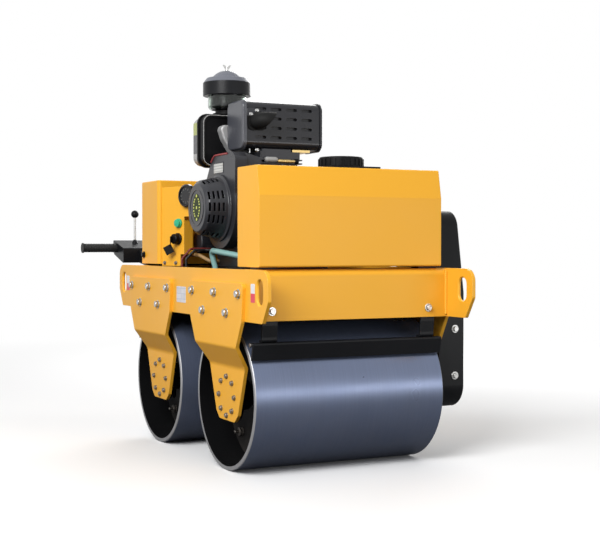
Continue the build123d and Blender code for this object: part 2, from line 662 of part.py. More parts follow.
# ---------------------------------------------------------------- engine
def engine_block():
    """Crankcase, finned barrel, rocker cover and exhaust flange as one casting."""
    y0 = CRANK_Y - BLOCK_HALF_Y
    y1 = CRANK_Y + BLOCK_HALF_Y
    foot = DECK_TOP + PLINTH_H
    low = CRANK_Z - 90
    high = BLOCK_TOP - 60
    points = [(y0 + 40, foot), (y1 - 40, foot), (y1, low), (y1, high), (y1 - 60, BLOCK_TOP),
              (y0 + 60, BLOCK_TOP), (y0, high), (y0, low)]
    case = side_profile(points, 14, -BLOCK_HALF_X, BLOCK_HALF_X)
    half = BARREL_W / 2
    wall = half - 12
    engine = case + box(-wall, wall, CRANK_Y - wall, CRANK_Y + wall, BLOCK_TOP - 20, HEAD_TOP)
    fins = []
    z = BLOCK_TOP + FIN_PITCH / 2
    while z + FIN_T < HEAD_TOP - 22:
        fins.append(box(-half, half, CRANK_Y - half, CRANK_Y + half, z, z + FIN_T))
        z += FIN_PITCH
    engine += fins
    lid = half - 6
    engine += box(-lid, lid, CRANK_Y - lid, CRANK_Y + lid, HEAD_TOP - 24, HEAD_TOP)
    return engine + box(PORT_X0, PORT_X1, CRANK_Y - lid, MUFFLER_Y1 - MUFFLER_R, HEAD_TOP, MUFFLER_Z0)


def fan_shroud():
    """Flywheel fan shroud: round about the crankshaft, with a tower and a cowl over to the head."""
    round_part = x_cylinder(SHROUD_R, SHROUD_X0, SHROUD_X1, CRANK_Y, CRANK_Z)
    outline = [(CRANK_Y + y, CRANK_Z + z) for y, z in SHROUD_TOWER]
    tower = side_profile(outline, [0, 14, 14, 14, 14, 14, 0], SHROUD_X0, SHROUD_X1)
    return round_part + tower + head_cowl()


def head_cowl():
    """Folded cowl that leads the cooling air from the shroud to the barrel, open below and beside it."""
    x1 = -BARREL_W / 2 - COWL_GAP
    top = CRANK_Z + SHROUD_TOWER[2][1]
    y0 = CRANK_Y + SHROUD_TOWER[2][0]
    y1 = CRANK_Y + SHROUD_TOWER[3][0]
    t = COWL_T
    points = [(SHROUD_X1, BLOCK_TOP), (SHROUD_X1, top), (x1, top - COWL_DROP), (x1, BLOCK_TOP)]
    inside = [(SHROUD_X1, BLOCK_TOP - t), (SHROUD_X1, top - t), (x1 + t, top - COWL_DROP - t),
              (x1 + t, BLOCK_TOP - t)]
    return front_profile(points, 0, y0, y1) - front_profile(inside, 0, y0 + t, y1 - t)


def recoil_cup():
    """Thin revolved cup with a rolled foot, a domed corner and a raised ring on its face."""
    length = CUP_L
    wall = CUP_WALL
    outer = [(0, 0), (CUP_R_BASE + 8, 0), (CUP_R_BASE + 8, 6), (CUP_R_BASE, 9),
             (CUP_R_FACE + 3, length - 10), (CUP_R_FACE - 8, length), (0, length)]
    inner = [(0, -1), (CUP_R_BASE - wall, -1), (CUP_R_BASE - wall, 9),
             (CUP_R_FACE + 3 - wall, length - 10 - wall), (CUP_R_FACE - 8, length - wall), (0, length - wall)]
    ring = [(CUP_DISH_R, length - 1), (CUP_DISH_R + CUP_DISH_W, length - 1),
            (CUP_DISH_R + CUP_DISH_W, length + CUP_DISH_H), (CUP_DISH_R, length + CUP_DISH_H)]
    cup = turned(outer, [0, 0, 2, 4, CUP_ROUND, 6, 0]) - turned(inner, [0, 0, 4, 8, 4, 0])
    return cup + turned(ring)


def recoil_starter():
    """Recoil cup with banks of louvres through its wall, and the rope's handle at its boss."""
    cup = recoil_cup()
    for angle in LOUVRE_BANKS:
        for station in range(LOUVRES):
            place = Rot(0, 0, angle) * Pos(CUP_R_BASE, 0, LOUVRE_FIRST + LOUVRE_PITCH * station)
            cup -= place * Box(50, LOUVRE_L, LOUVRE_W)
    depth, width, length = ROPE_GRIP
    place = Rot(0, 0, ROPE_ANGLE) * Pos(CUP_R_BASE - 5, 0, ROPE_UP)
    boss = place * Rot(0, 90, 0) * Cylinder(8, 14)
    grip = Box(depth, width, length)
    grip = place * Pos(6 + depth / 2, 0, 0) * fillet(grip.edges().filter_by(Axis.Z), 5)
    return Pos(SHROUD_X0, CRANK_Y, CRANK_Z) * Rot(0, -90, 0) * Rot(0, 0, -90) * (cup + boss + grip)


def engine_pan():
    """Plinth under the crankcase, with rounded corners."""
    block = Box(2 * PLINTH_HALF_X, 2 * PLINTH_HALF_Y, PLINTH_H)
    block = fillet(block.edges().filter_by(Axis.Z), 16)
    return Pos(0, CRANK_Y, DECK_TOP + PLINTH_H / 2) * block


def starter_motor():
    """Electric starter beside the crankcase: barrel, nose, lug to the case and terminal block."""
    barrel = x_cylinder(MOTOR_R, MOTOR_X, MOTOR_FLANGE_X, MOTOR_Y, MOTOR_Z)
    barrel = chamfer(barrel.faces().sort_by(Axis.X)[0].edges(), 3)
    nose = x_cylinder(MOTOR_NOSE_R, MOTOR_FLANGE_X, MOTOR_NOSE_X, MOTOR_Y, MOTOR_Z)
    lug_x = MOTOR_FLANGE_X + MOTOR_LUG_T
    lug = box(MOTOR_FLANGE_X, lug_x, CRANK_Y + BLOCK_HALF_Y, MOTOR_Y, CRANK_Z - 80, CRANK_Z - 15)
    lug += x_cylinder(MOTOR_R, MOTOR_FLANGE_X, lug_x, MOTOR_Y, MOTOR_Z)
    lug += box(MOTOR_FLANGE_X, lug_x, MOTOR_Y - MOTOR_R, MOTOR_Y, MOTOR_Z, CRANK_Z - 15)
    block_x = MOTOR_FLANGE_X - TERMINAL_IN
    block_z = MOTOR_Z - TERMINAL_DROP
    half = TERMINAL / 2
    block = box(block_x - half, block_x + half, MOTOR_Y - TERMINAL_OUT, MOTOR_Y, block_z - half, block_z + half)
    return barrel + nose + lug + block


def build_engine():
    """Engine on its plinth, with shroud, recoil starter and electric starter."""
    keep("engine_block", engine_block())
    keep("fan_shroud", fan_shroud())
    keep("recoil_starter", recoil_starter())
    keep("engine_pan", engine_pan())
    keep("starter_motor", starter_motor())


# ---------------------------------------------------------------- exhaust
def muffler_section(grow, x0, x1):
    """Rounded section of the muffler, grown all round, between two stations."""
    y0 = MUFFLER_Y0 - grow
    y1 = MUFFLER_Y1 + grow
    z0 = MUFFLER_Z0 - grow
    z1 = MUFFLER_Z1 + grow
    return side_profile([(y0, z0), (y1, z0), (y1, z1), (y0, z1)], MUFFLER_R + grow, x0, x1)


def muffler():
    """Muffler in its slotted guard, a rounded box along X."""
    body = muffler_section(0, MUFFLER_X0, MUFFLER_X1)
    mid_x = (MUFFLER_X0 + MUFFLER_X1) / 2
    mid_z = (MUFFLER_Z0 + MUFFLER_Z1) / 2
    slot = Plane.XZ * SlotOverall(MUFFLER_SLOT_L, MUFFLER_SLOT_W)
    for column in MUFFLER_COLUMNS:
        for row in MUFFLER_ROWS:
            cut = extrude(slot, amount=MUFFLER_SLOT_D, both=True)
            body -= Pos(mid_x + column, MUFFLER_Y0, mid_z + row) * cut
    return body


def muffler_end(x0, x1):
    """Pressed end cap, proud of the muffler, with a rolled joint along its inner edge."""
    cap = muffler_section(MUFFLER_LIP, x0, x1)
    left = x0 < MUFFLER_X0
    ends = cap.faces().sort_by(Axis.X)
    outer = ends[0] if left else ends[-1]
    cap = fillet(outer.edges(), 6)
    joint = (x1 - ROLL_W, x1) if left else (x0, x0 + ROLL_W)
    return cap + muffler_section(MUFFLER_LIP + ROLL_OUT, *joint)


def exhaust_outlet():
    """Flanged elbow on the muffler's face, turned to the right, its open end cut on a slant."""
    x = MUFFLER_X0 + OUTLET_IN
    z = MUFFLER_Z0 + OUTLET_UP
    width, height, thick = OUTLET_PLATE
    y = MUFFLER_Y0 - thick
    half = width / 2
    rise = height / 2
    plate = front_profile([(x - half, z - rise), (x + half, z - rise), (x + half, z + rise),
                           (x - half, z + rise)], 12, y, MUFFLER_Y0)
    corner = y - OUTLET_REACH
    path = FilletPolyline((x, y, z), (x, corner, z), (x + OUTLET_RUN, corner, z), radius=OUTLET_R + 5)
    ring = Plane(origin=(x, y, z), z_dir=(0, -1, 0)) * (Circle(OUTLET_R) - Circle(OUTLET_R - OUTLET_WALL))
    pipe = sweep(ring, path=path)
    end = Pos(x + OUTLET_RUN - OUTLET_LIP, corner, z) * Rot(0, OUTLET_MITRE, 0) * Pos(50, 0, 0) * Box(100, 90, 200)
    return plate + (pipe - end)


def build_exhaust():
    """Muffler, its two end caps, the outlet and the bracket to the head."""
    keep("muffler", muffler())
    keep("muffler_cap_left", muffler_end(MUFFLER_X0 - MUFFLER_CAP_L, MUFFLER_X0))
    keep("muffler_cap_right", muffler_end(MUFFLER_X1, MUFFLER_X1 + MUFFLER_CAP_R))
    keep("exhaust_outlet", exhaust_outlet())
    half = BARREL_W / 2 - BRACKET_IN
    y1 = min(CRANK_Y + half, MUFFLER_Y1 - MUFFLER_R)
    keep("muffler_bracket", box(BRACKET_X0, BRACKET_X1, CRANK_Y - half, y1, HEAD_TOP, MUFFLER_Z0))


# ---------------------------------------------------------------- air intake
def filter_section(y0, y1, inset):
    """Rounded square section of the air cleaner between two depths."""
    x0 = FILTER_X0 + inset
    x1 = FILTER_X0 + FILTER_W - inset
    z0 = FILTER_Z0 + inset
    z1 = FILTER_TOP - inset
    return front_profile([(x0, z0), (x1, z0), (x1, z1), (x0, z1)], FILTER_R - inset / 2, y0, y1)


def air_cleaner():
    """Air cleaner body with a rolled rim at its joint and a dished front."""
    joint = FILTER_Y1 - 10
    body = filter_section(FILTER_Y0, joint, 5) + filter_section(joint, FILTER_Y1, 0)
    dish = filter_section(FILTER_Y0 - 1, FILTER_Y0 + FILTER_DISH, 14)
    return body - dish


def air_cleaner_cover():
    """Bulged cover at the back of the air cleaner."""
    cover = filter_section(FILTER_Y1, FILTER_Y1 + FILTER_COVER_D, COVER_IN)
    back = cover.faces().sort_by(Axis.Y)[-1]
    return fillet(back.edges(), 18)


def intake_duct():
    """Flat cast duct from the air cleaner's face down to the cylinder head."""
    y0 = MUFFLER_Y1 + DUCT_GAP
    y1 = FILTER_Y0 + FILTER_DISH
    top = FILTER_TOP - DUCT_DROP
    points = [(DUCT_X0, top), (DUCT_X1, top), (DUCT_X1, HEAD_TOP), (DUCT_X0 + 42, HEAD_TOP),
              (DUCT_X0 + 15, FILTER_TOP - DUCT_WAIST)]
    duct = front_profile(points, [16, 20, 4, 12, 40], y0, y1)
    duct = fillet(duct.faces().sort_by(Axis.Y)[0].edges(), 6)
    return duct - air_cleaner()


def pre_cleaner():
    """Neck, clear dust bowl, ribbed ring with its dome, and wing nut."""
    place = Pos(BOWL_X, BOWL_Y, 0)
    z = FILTER_TOP
    foot = NECK_R + 8
    neck = turned([(0, z), (foot, z), (foot, z + 5), (NECK_R, z + 7), (NECK_R, BOWL_Z - 4),
                   (NECK_R + 10, BOWL_Z), (0, BOWL_Z)])
    keep("pre_cleaner_neck", place * neck)
    top = BOWL_Z + BOWL_H
    wall = BOWL_WALL
    bowl = turned([(STEM_R, BOWL_Z), (BOWL_R - 6, BOWL_Z), (BOWL_R, BOWL_Z + 8), (BOWL_R, top), (STEM_R, top)])
    hollow = turned([(STEM_R + wall, BOWL_Z + wall), (BOWL_R - 8, BOWL_Z + wall),
                     (BOWL_R - wall, BOWL_Z + 10), (BOWL_R - wall, top + 1), (STEM_R + wall, top + 1)])
    keep("pre_cleaner_bowl", place * (bowl - hollow))
    ring_top = top + RING_H
    ring = turned([(0, top), (RING_R, top), (RING_R, ring_top - RING_BEVEL),
                   (RING_TOP_R, ring_top), (0, ring_top)], [0, 2, 5, 3, 0])
    ball_r = (DOME_R ** 2 + DOME_H ** 2) / (2 * DOME_H)
    dome = Pos(0, 0, ring_top + DOME_H - ball_r) * Sphere(ball_r)
    dome = dome & z_cylinder(DOME_R, ring_top, ring_top + DOME_H, 0, 0)
    flat = 7.0
    seat = ring_top + DOME_H - flat ** 2 / (2 * ball_r)
    above = z_cylinder(DOME_R, seat, seat + DOME_H, 0, 0)
    keep("pre_cleaner_top", place * (ring + dome - above))
    stud = z_cylinder(flat - 1, seat, seat + 6, 0, 0) + z_cylinder(3, seat, seat + NUT_H - 4, 0, 0)
    outline = [(-4, 2), (4, 2), (14, NUT_H), (8, NUT_H), (0, 8), (-8, NUT_H), (-14, NUT_H)]
    wings = front_profile(outline, 0, -NUT_T / 2, NUT_T / 2)
    keep("wing_nut", place * (stud + Pos(0, 0, seat) * wings))


def build_intake():
    """Air cleaner with its duct and pre-cleaner."""
    keep("air_cleaner", air_cleaner())
    keep("air_cleaner_cover", air_cleaner_cover())
    keep("intake_duct", intake_duct())
    pre_cleaner()


# ---------------------------------------------------------------- guard and scrapers
def drive_guard():
    """Chain guard over the front right leg, narrower towards its rounded top."""
    b = GUARD_HALF
    a = GUARD_HALF_TOP
    points = [(-b, GUARD_Z0), (b, GUARD_Z0), (b, GUARD_SHOULDER_Z), (a, GUARD_Z1), (-a, GUARD_Z1),
              (-b, GUARD_SHOULDER_Z)]
    radii = [GUARD_R_LOW, GUARD_R_LOW, 60, GUARD_R_TOP, GUARD_R_TOP, 60]
    shell = side_profile(points, radii, GUARD_X0, GUARD_X1)
    shell = fillet(shell.faces().sort_by(Axis.X)[-1].edges(), 8)
    return Pos(0, -AXLE_Y, 0) * shell


def guard_plate():
    """Backing plate between the leg and the guard."""
    half = GUARD_HALF - 24
    plate = box(LEG_X, GUARD_X0, -AXLE_Y - half, -AXLE_Y + half, LEG_KNEE + 30, LEG_TOP - 6)
    return plate


def scraper():
    """Front scraper bar: a blade leaning to the drum, with a ledge along its top."""
    tip_y = SCRAPER_TIP_Y
    tip_z = SCRAPER_TIP_Z
    y0 = SCRAPER_Y0
    z1 = SCRAPER_Z1
    t = SCRAPER_T
    points = [(tip_y, tip_z), (tip_y, tip_z + 3), (y0 + t, z1 - t), (y0 + SCRAPER_LEDGE, z1 - t),
              (y0 + SCRAPER_LEDGE, z1), (y0, z1), (tip_y - t, tip_z)]
    half = DRUM_W / 2 + SCRAPER_OVER
    return side_profile(points, [0, 0, 2, 0, 0, 5, 0], -half, half)


def scraper_straps():
    """Two bent straps from the front beam's back down on to the scraper's ledge."""
    y = -BEAM_Y + BEAM_T + STRAP_T / 2
    foot_y = SCRAPER_Y0 + STRAP_T
    foot_z = SCRAPER_Z1 + STRAP_T / 2
    points = [(y, PLATE_Z0 + STRAP_UP), (y, PLATE_Z0 - 2 * STRAP_T), (foot_y, foot_z + 2 * STRAP_T),
              (foot_y, foot_z), (SCRAPER_Y0 + SCRAPER_LEDGE, foot_z)]
    path = Plane.YZ * FilletPolyline(*points, radius=STRAP_BEND_R)
    start = Plane(origin=(0, y, PLATE_Z0 + STRAP_UP), x_dir=(1, 0, 0), z_dir=(0, 0, -1))
    strap = sweep(start * Rectangle(STRAP_W, STRAP_T), path=path)
    return apart(Pos(-STRAP_X, 0, 0) * strap, Pos(STRAP_X, 0, 0) * strap)


def build_guards():
    """Drive guard, its plate, and the scraper with straps at each end."""
    keep("drive_guard", drive_guard())
    keep("guard_plate", guard_plate())
    bar = scraper()
    straps = scraper_straps()
    keep("front_scraper", bar)
    keep("rear_scraper", mirrored(bar, Plane.XZ))
    keep("front_scraper_straps", straps)
    keep("rear_scraper_straps", mirrored(straps, Plane.XZ))


# ---------------------------------------------------------------- steering handle
def handle_bracket():
    """Two ears on the rear beam, with the pivot pin and the stop under the arm."""
    reach = ARM_W / 2 + ARM_SIDE_GAP
    low = PIVOT_Z - EAR_HALF_H
    r = EAR_R
    ears = []
    for x0 in (-reach - EAR_T, reach):
        ear = side_profile([(BEAM_Y, low), (PIVOT_Y + r, low), (PIVOT_Y + r, PIVOT_Z + r),
                            (BEAM_Y, PIVOT_Z + EAR_HALF_H)], [0, 14, r - 4, 0], x0, x0 + EAR_T)
        ears.append(ear)
    pin = x_cylinder(PIVOT_PIN_R, -reach - EAR_T - 6, reach + EAR_T + 6, PIVOT_Y, PIVOT_Z)
    stop = box(-reach - 1, reach + 1, PIVOT_Y + 10, PIVOT_Y + r - 2, low, low + 12)
    return ears[0] + ears[1] + pin + stop


def arm_run():
    """Length of the arm and its rise in degrees, from the pivot into the control housing."""
    end_y = HOUSING_Y0 + ARM_SOCKET
    end_z = HOUSING_Z0 - HOUSING_H / 2
    run = hypot(end_y - PIVOT_Y, end_z - PIVOT_Z)
    return run, degrees(atan2(end_z - PIVOT_Z, end_y - PIVOT_Y))


def arm_blank():
    """Outside of the arm's tube."""
    run, rise = arm_run()
    return Pos(0, PIVOT_Y, PIVOT_Z) * Rot(rise, 0, 0) * Pos(0, run / 2, 0) * Box(ARM_W, run, ARM_H)


def handle_arm():
    """Square tube arm with a round eye at the pivot, rising to the control housing."""
    run, rise = arm_run()
    place = Pos(0, PIVOT_Y, PIVOT_Z) * Rot(rise, 0, 0)
    core = place * Pos(0, run / 2, 0) * Box(ARM_W - 2 * ARM_WALL, run - 2 * ARM_H, ARM_H - 2 * ARM_WALL)
    eye = x_cylinder(ARM_H / 2, -ARM_W / 2, ARM_W / 2, PIVOT_Y, PIVOT_Z)
    bore = x_cylinder(PIVOT_PIN_R + PIVOT_FIT, -ARM_W, ARM_W, PIVOT_Y, PIVOT_Z)
    return arm_blank() - core + eye - bore


def control_housing():
    """Sheet console on the arm's end, its top sloping down to the front."""
    y0 = HOUSING_Y0
    y1 = HOUSING_Y1
    z0 = HOUSING_Z0
    z1 = HOUSING_Z0 + HOUSING_RISE
    points = [(y0, z0 - HOUSING_H), (y1 - 12, z1 - HOUSING_H + 2), (y1, z1 - HOUSING_H + 18), (y1, z1), (y0, z0)]
    half = HOUSING_W / 2
    return side_profile(points, [6, 8, 6, 5, 5], -half, half) - arm_blank()


def handle_grips():
    """A grip on its bar at each side of the housing."""
    half = HOUSING_W / 2
    grips = []
    for side in (-1, 1):
        x0 = half
        x1 = x0 + COLLAR_L
        x2 = x1 + GRIP_L
        outline = [(0, x0), (GRIP_R + 2, x0), (GRIP_R + 2, x1), (GRIP_R, x1), (GRIP_R, x2), (GRIP_R + 4, x2),
                   (GRIP_R + 4, x2 + 5), (0, x2 + 5)]
        grips.append(Pos(0, GRIP_Y, GRIP_Z) * Rot(0, 90 * side, 0) * turned(outline))
    return apart(*grips)


def travel_lever():
    """Travel lever: a boot, a rod and a ball knob on the housing's sloping top."""
    z = HOUSING_Z0 + (LEVER_Y - HOUSING_Y0) * tan(HOUSING_TILT)
    boot = Pos(LEVER_X, LEVER_Y, z - 4) * Cone(15, 7, 18, align=(Align.CENTER, Align.CENTER, Align.MIN))
    rod = z_cylinder(LEVER_R, z - 2, z + LEVER_L, LEVER_X, LEVER_Y)
    ball = Pos(LEVER_X, LEVER_Y, z + LEVER_L + BALL_R * 0.8) * Sphere(BALL_R)
    return rod + ball + boot - control_housing()


def build_handle():
    """Pivot bracket on the frame; arm, housing, grips and lever that swing up together."""
    keep("handle_bracket", handle_bracket())
    keep("handle_arm", handle_arm())
    keep("control_housing", control_housing())
    keep("handle_grips", handle_grips())
    keep("travel_lever", travel_lever())


def build_tanks():
    """Both tanks, their pads and their caps."""
    keep("water_tank", water_tank())
    keep("water_cap", water_cap())
    keep("tank_pads", mount_pads())
    keep("oil_tank", oil_tank())
    keep("oil_cap", oil_cap())


# ---------------------------------------------------------------- hoses and leads
def water_hose():
    """Hose from the water tank's back, level to an elbow beside the engine and down to the deck."""
    low = TANK_Z0 + HOSE_LOW
    elbow = CRANK_Y + HOSE_BACK
    x = HOSE_X + HOSE_IN
    points = [(HOSE_X, TANK_Y1, low), (HOSE_X, TANK_Y1 + HOSE_STUB, low),
              (HOSE_X, elbow, DECK_TOP + HOSE_UP), (x, elbow, DECK_TOP + HOSE_FOOT),
              (x, elbow, DECK_TOP)]
    return route(points, HOSE_R, HOSE_BEND_R)


def drain_hose():
    """Oil hose from the oil tank's front to the crankcase's side."""
    x = FOLD_X + DRAIN_GAP
    back = CRANK_Y + BLOCK_HALF_Y
    high = DECK_TOP + DRAIN_UP
    low = DECK_TOP + DRAIN_FOOT
    side = -BLOCK_HALF_X
    points = [(x, OIL_TANK_Y0, high), (x, back, high), (side - 2 * DRAIN_BEND_R, back - DRAIN_IN, low),
              (side, back - DRAIN_IN, low)]
    return route(points, DRAIN_R, DRAIN_BEND_R)


def engine_leads():
    """Battery lead to the starter's terminal, and the earth lead to the crankcase."""
    terminal = MOTOR_Y - TERMINAL_OUT
    terminal_x = MOTOR_FLANGE_X - TERMINAL_IN
    high = MOTOR_Z - TERMINAL_DROP
    y = terminal - LEAD_TAIL
    foot = FOLD_X - LEAD_OUT
    arch = FOLD_X - LEAD_ARCH
    knee = DECK_TOP + LEAD_FOOT
    starter = [(foot, y, DECK_TOP), (foot, y, knee), (arch, y, high), (terminal_x, y, high),
               (terminal_x, terminal, high)]
    y -= LEAD_PITCH
    foot += LEAD_PITCH
    high -= EARTH_DROP
    side = -BLOCK_HALF_X
    end_y = CRANK_Y + BLOCK_HALF_Y - EARTH_IN
    earth = [(foot, y, DECK_TOP), (foot, y, knee), (arch + LEAD_PITCH, y, high),
             (side - 4 * LEAD_BEND_R, y, high), (side - 2 * LEAD_BEND_R, end_y, high), (side, end_y, high)]
    return apart(route(starter, LEAD_R, LEAD_BEND_R), route(earth, LEAD_R, LEAD_BEND_R))


def build_lines():
    """Water hose, oil hose and the engine's leads."""
    keep("water_hose", water_hose())
    keep("drain_hose", drain_hose())
    keep("engine_leads", engine_leads())


def main():
    """Build every piece and write one STEP file for each."""
    build_drums()
    build_frame()
    build_tanks()
    build_panel()
    build_engine()
    build_exhaust()
    build_intake()
    build_guards()
    build_handle()
    build_lines()
    os.makedirs("parts", exist_ok=True)
    for name, shape in PARTS.items():
        placed = Pos(-X_MID, -Y_MID, 0) * Compound(shape.solids())
        export_step(placed, f"parts/{name}.step")


main()
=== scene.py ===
# %% [markdown]
# # A walk-behind road roller
#
# This lesson dresses a finished CAD model of a small double-drum road roller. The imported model
# is loaded as a frame that never moves, and this script adds what a draughtsman leaves out:
# paint, bare steel, bolts, labels, a camera and a plain studio. Each step comes with a short
# note on what the real piece is and why it is made this way here.

import json
from math import cos, pi, radians, sin

import bmesh
import bpy
import numpy as np
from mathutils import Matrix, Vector


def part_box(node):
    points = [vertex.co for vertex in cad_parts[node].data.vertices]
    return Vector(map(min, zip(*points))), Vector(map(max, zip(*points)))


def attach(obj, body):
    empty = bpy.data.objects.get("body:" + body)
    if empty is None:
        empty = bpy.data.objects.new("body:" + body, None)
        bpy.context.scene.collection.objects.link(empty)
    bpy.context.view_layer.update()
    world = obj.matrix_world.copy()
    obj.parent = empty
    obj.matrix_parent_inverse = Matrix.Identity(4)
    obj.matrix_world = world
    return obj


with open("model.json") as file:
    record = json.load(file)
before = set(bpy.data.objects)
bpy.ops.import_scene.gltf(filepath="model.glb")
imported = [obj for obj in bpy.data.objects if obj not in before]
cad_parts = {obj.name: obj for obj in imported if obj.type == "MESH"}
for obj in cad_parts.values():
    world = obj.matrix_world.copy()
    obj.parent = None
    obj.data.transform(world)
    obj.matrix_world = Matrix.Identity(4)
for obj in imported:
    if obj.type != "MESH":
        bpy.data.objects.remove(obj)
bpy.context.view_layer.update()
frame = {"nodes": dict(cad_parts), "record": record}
NODES = frame["nodes"]

# %% [markdown]
# ## One origin for every measurement
#
# The machine is easiest to describe from the ground midway between its axles: X to its right,
# Y to the rear, Z up, in millimetres, as on a workshop drawing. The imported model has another
# origin, so one helper turns drawing millimetres into model metres, and another reads a CAD
# node's corners back in drawing millimetres.

# %% The drawing's origin
plate_low, plate_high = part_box("side_plate_left")
_, right_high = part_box("side_plate_right")
ORIGIN = np.array([(plate_low.x + right_high.x) / 2, (plate_low.y + plate_high.y) / 2, 0.0])


def place(points):
    """Drawing millimetres to model metres, for one point or an array of points."""
    return np.asarray(points, float) / 1000 + ORIGIN


def drawn(points):
    """Model metres back to drawing millimetres."""
    return (np.asarray(points, float) - ORIGIN) * 1000


def corners(name):
    """Lowest and highest corner of a CAD node in drawing millimetres."""
    return [drawn(corner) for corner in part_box(name)]


print("drawing origin in the model (m):", ORIGIN.round(4))

# %% [markdown]
# ## Camera
#
# The machine is seen from its front left corner, a little above axle height, through a fairly
# long lens. A long lens keeps the near drum from swelling, as a catalogue view does. The camera
# looks along a heading measured from the +Y axis and dips slightly below the horizon.

# %% Camera
CAMERA_AT = (-1613.2, -3414.3, 634.5)
HEADING = radians(26.343)
DIP = radians(1.277)
LENS = 71.39

camera_data = bpy.data.cameras.new("camera")
camera_data.lens = LENS
camera_data.sensor_width = 36.0
camera_data.sensor_fit = "HORIZONTAL"
camera_data.clip_start, camera_data.clip_end = 0.1, 60.0
camera = bpy.data.objects.new("camera", camera_data)
look = Vector((sin(HEADING) * cos(DIP), cos(HEADING) * cos(DIP), -sin(DIP)))
camera.rotation_mode = "QUATERNION"
camera.rotation_quaternion = look.to_track_quat("-Z", "Y")
camera.location = place(CAMERA_AT)
bpy.context.scene.collection.objects.link(camera)
bpy.context.scene.camera = camera
print("camera", round(camera.location.length, 2), "m from the model's origin")

# %% [markdown]
# ## Shader nodes in short words
#
# A material here is a few nodes that hand numbers to one another. The helpers below add a node
# and feed it in one line: a setting that is a socket is linked, a property is set, and anything
# else is the value of the input of that name.

# %% Shader helpers
def link(tree, source, target):
    """Join an output socket to an input socket."""
    tree.links.new(source, target)


def feed(tree, made, settings):
    """Give a node its settings; an underscore in a name stands for a space in a socket's."""
    for key, value in settings.items():
        name = key.replace("_", " ")
        if isinstance(value, bpy.types.NodeSocket):
            link(tree, value, made.inputs[name])
        elif hasattr(made, key):
            setattr(made, key, value)
        else:
            made.inputs[name].default_value = value


def node(tree, kind, **settings):
    """Add a shader node of a kind, such as Mix, and feed it."""
    made = tree.nodes.new("ShaderNode" + kind)
    feed(tree, made, settings)
    return made


def maths(tree, operation, first, second, clamp=False):
    """Math node on two inputs, each a socket or a number; returns its output socket."""
    made = node(tree, "Math", operation=operation, use_clamp=clamp)
    for socket, value in zip(made.inputs, (first, second)):
        if isinstance(value, bpy.types.NodeSocket):
            link(tree, value, socket)
        else:
            socket.default_value = value
    return made.outputs[0]


def ramp(tree, source, low, high, to_low=0.0, to_high=1.0, smooth=False):
    """Map Range node: source from low..high to to_low..to_high, clamped; returns its output."""
    return node(tree, "MapRange", interpolation_type="SMOOTHSTEP" if smooth else "LINEAR",
                Value=source, From_Min=low, From_Max=high, To_Min=to_low,
                To_Max=to_high).outputs["Result"]


def tinted(tree, base, tint, mask):
    """Colour that goes from base to a tint, a colour or a socket, as mask goes from 0 to 1."""
    return node(tree, "Mix", data_type="RGBA", Factor=mask, A=base, B=tint).outputs["Result"]


def scaled(tree, vector, factor):
    """Colour or vector times a number."""
    return node(tree, "VectorMath", operation="SCALE", Vector=vector, Scale=factor).outputs[0]


def length_of(tree, vector):
    """Length of a vector."""
    return node(tree, "VectorMath", operation="LENGTH", Vector=vector).outputs["Value"]


NOISE_SPAN = (0.3, 0.7)    # where the values of a noise mostly lie


def noise(tree, **settings):
    """Noise texture's value."""
    return node(tree, "TexNoise", **settings).outputs["Fac"]


def here(tree):
    """The shaded point in the object's own space, in metres."""
    return node(tree, "TexCoord").outputs["Object"]


def true_normal(tree):
    """The surface's own normal."""
    return node(tree, "NewGeometry").outputs["Normal"]


def axis_value(tree, letter, vector=None):
    """One coordinate of a vector, or of the shaded point when none is given."""
    return node(tree, "SeparateXYZ", Vector=vector or here(tree)).outputs[letter]


def seen_by(tree):
    """Mask that is 1 for the camera, for reflections and for what glass shows."""
    rays = node(tree, "LightPath").outputs
    direct = maths(tree, "MAXIMUM", rays["Is Camera Ray"], rays["Is Glossy Ray"])
    return maths(tree, "MAXIMUM", direct, rays["Is Transmission Ray"])


print("shader helpers ready")

# %% [markdown]
# ## Studio
#
# The studio is a broad pale floor under an even sky. A floor that is truly white would also
# throw light up under the machine, where a real yard is darker. So the floor shows its pale
# colour to the camera, a share of it to reflections, and a dark one to the light that bounces
# from it. Far from the machine the floor melts into the white sky, which hides the horizon.
#
# Four soft lamps do the rest. The key stands high at the front left and lights the faces that
# look forward and left. A long low strip at the front right is there for the drums: a cylinder
# shows a lamp as a band along its length, and only a wide lamp gives a band that runs from rim
# to rim. A weak lamp opens the shadows of the left side, and the last one fills the far side.

# %% Sky
scene = bpy.context.scene
scene.view_settings.view_transform = "Standard"
world = bpy.data.worlds.new("studio_sky")
scene.world = world
world.use_nodes = True
sky = world.node_tree
sky.nodes.clear()
SKY_LIGHT = 0.36
back = node(sky, "Background", Color=(1, 1, 1, 1),
            Strength=ramp(sky, seen_by(sky), 0.0, 1.0, SKY_LIGHT, 1.0))
node(sky, "OutputWorld", Surface=back.outputs[0])
print("sky at", SKY_LIGHT)

# %% Floor
FLOOR_HALF = 14.0
FLOOR_SEEN = (0.93, 0.93, 0.93, 1)
FLOOR_BOUNCE = (0.06, 0.06, 0.065, 1)
MIRRORED = 0.2             # share of the floor's white that a glossy surface mirrors
FADE_FROM, FADE_TO = 1.6, 4.5


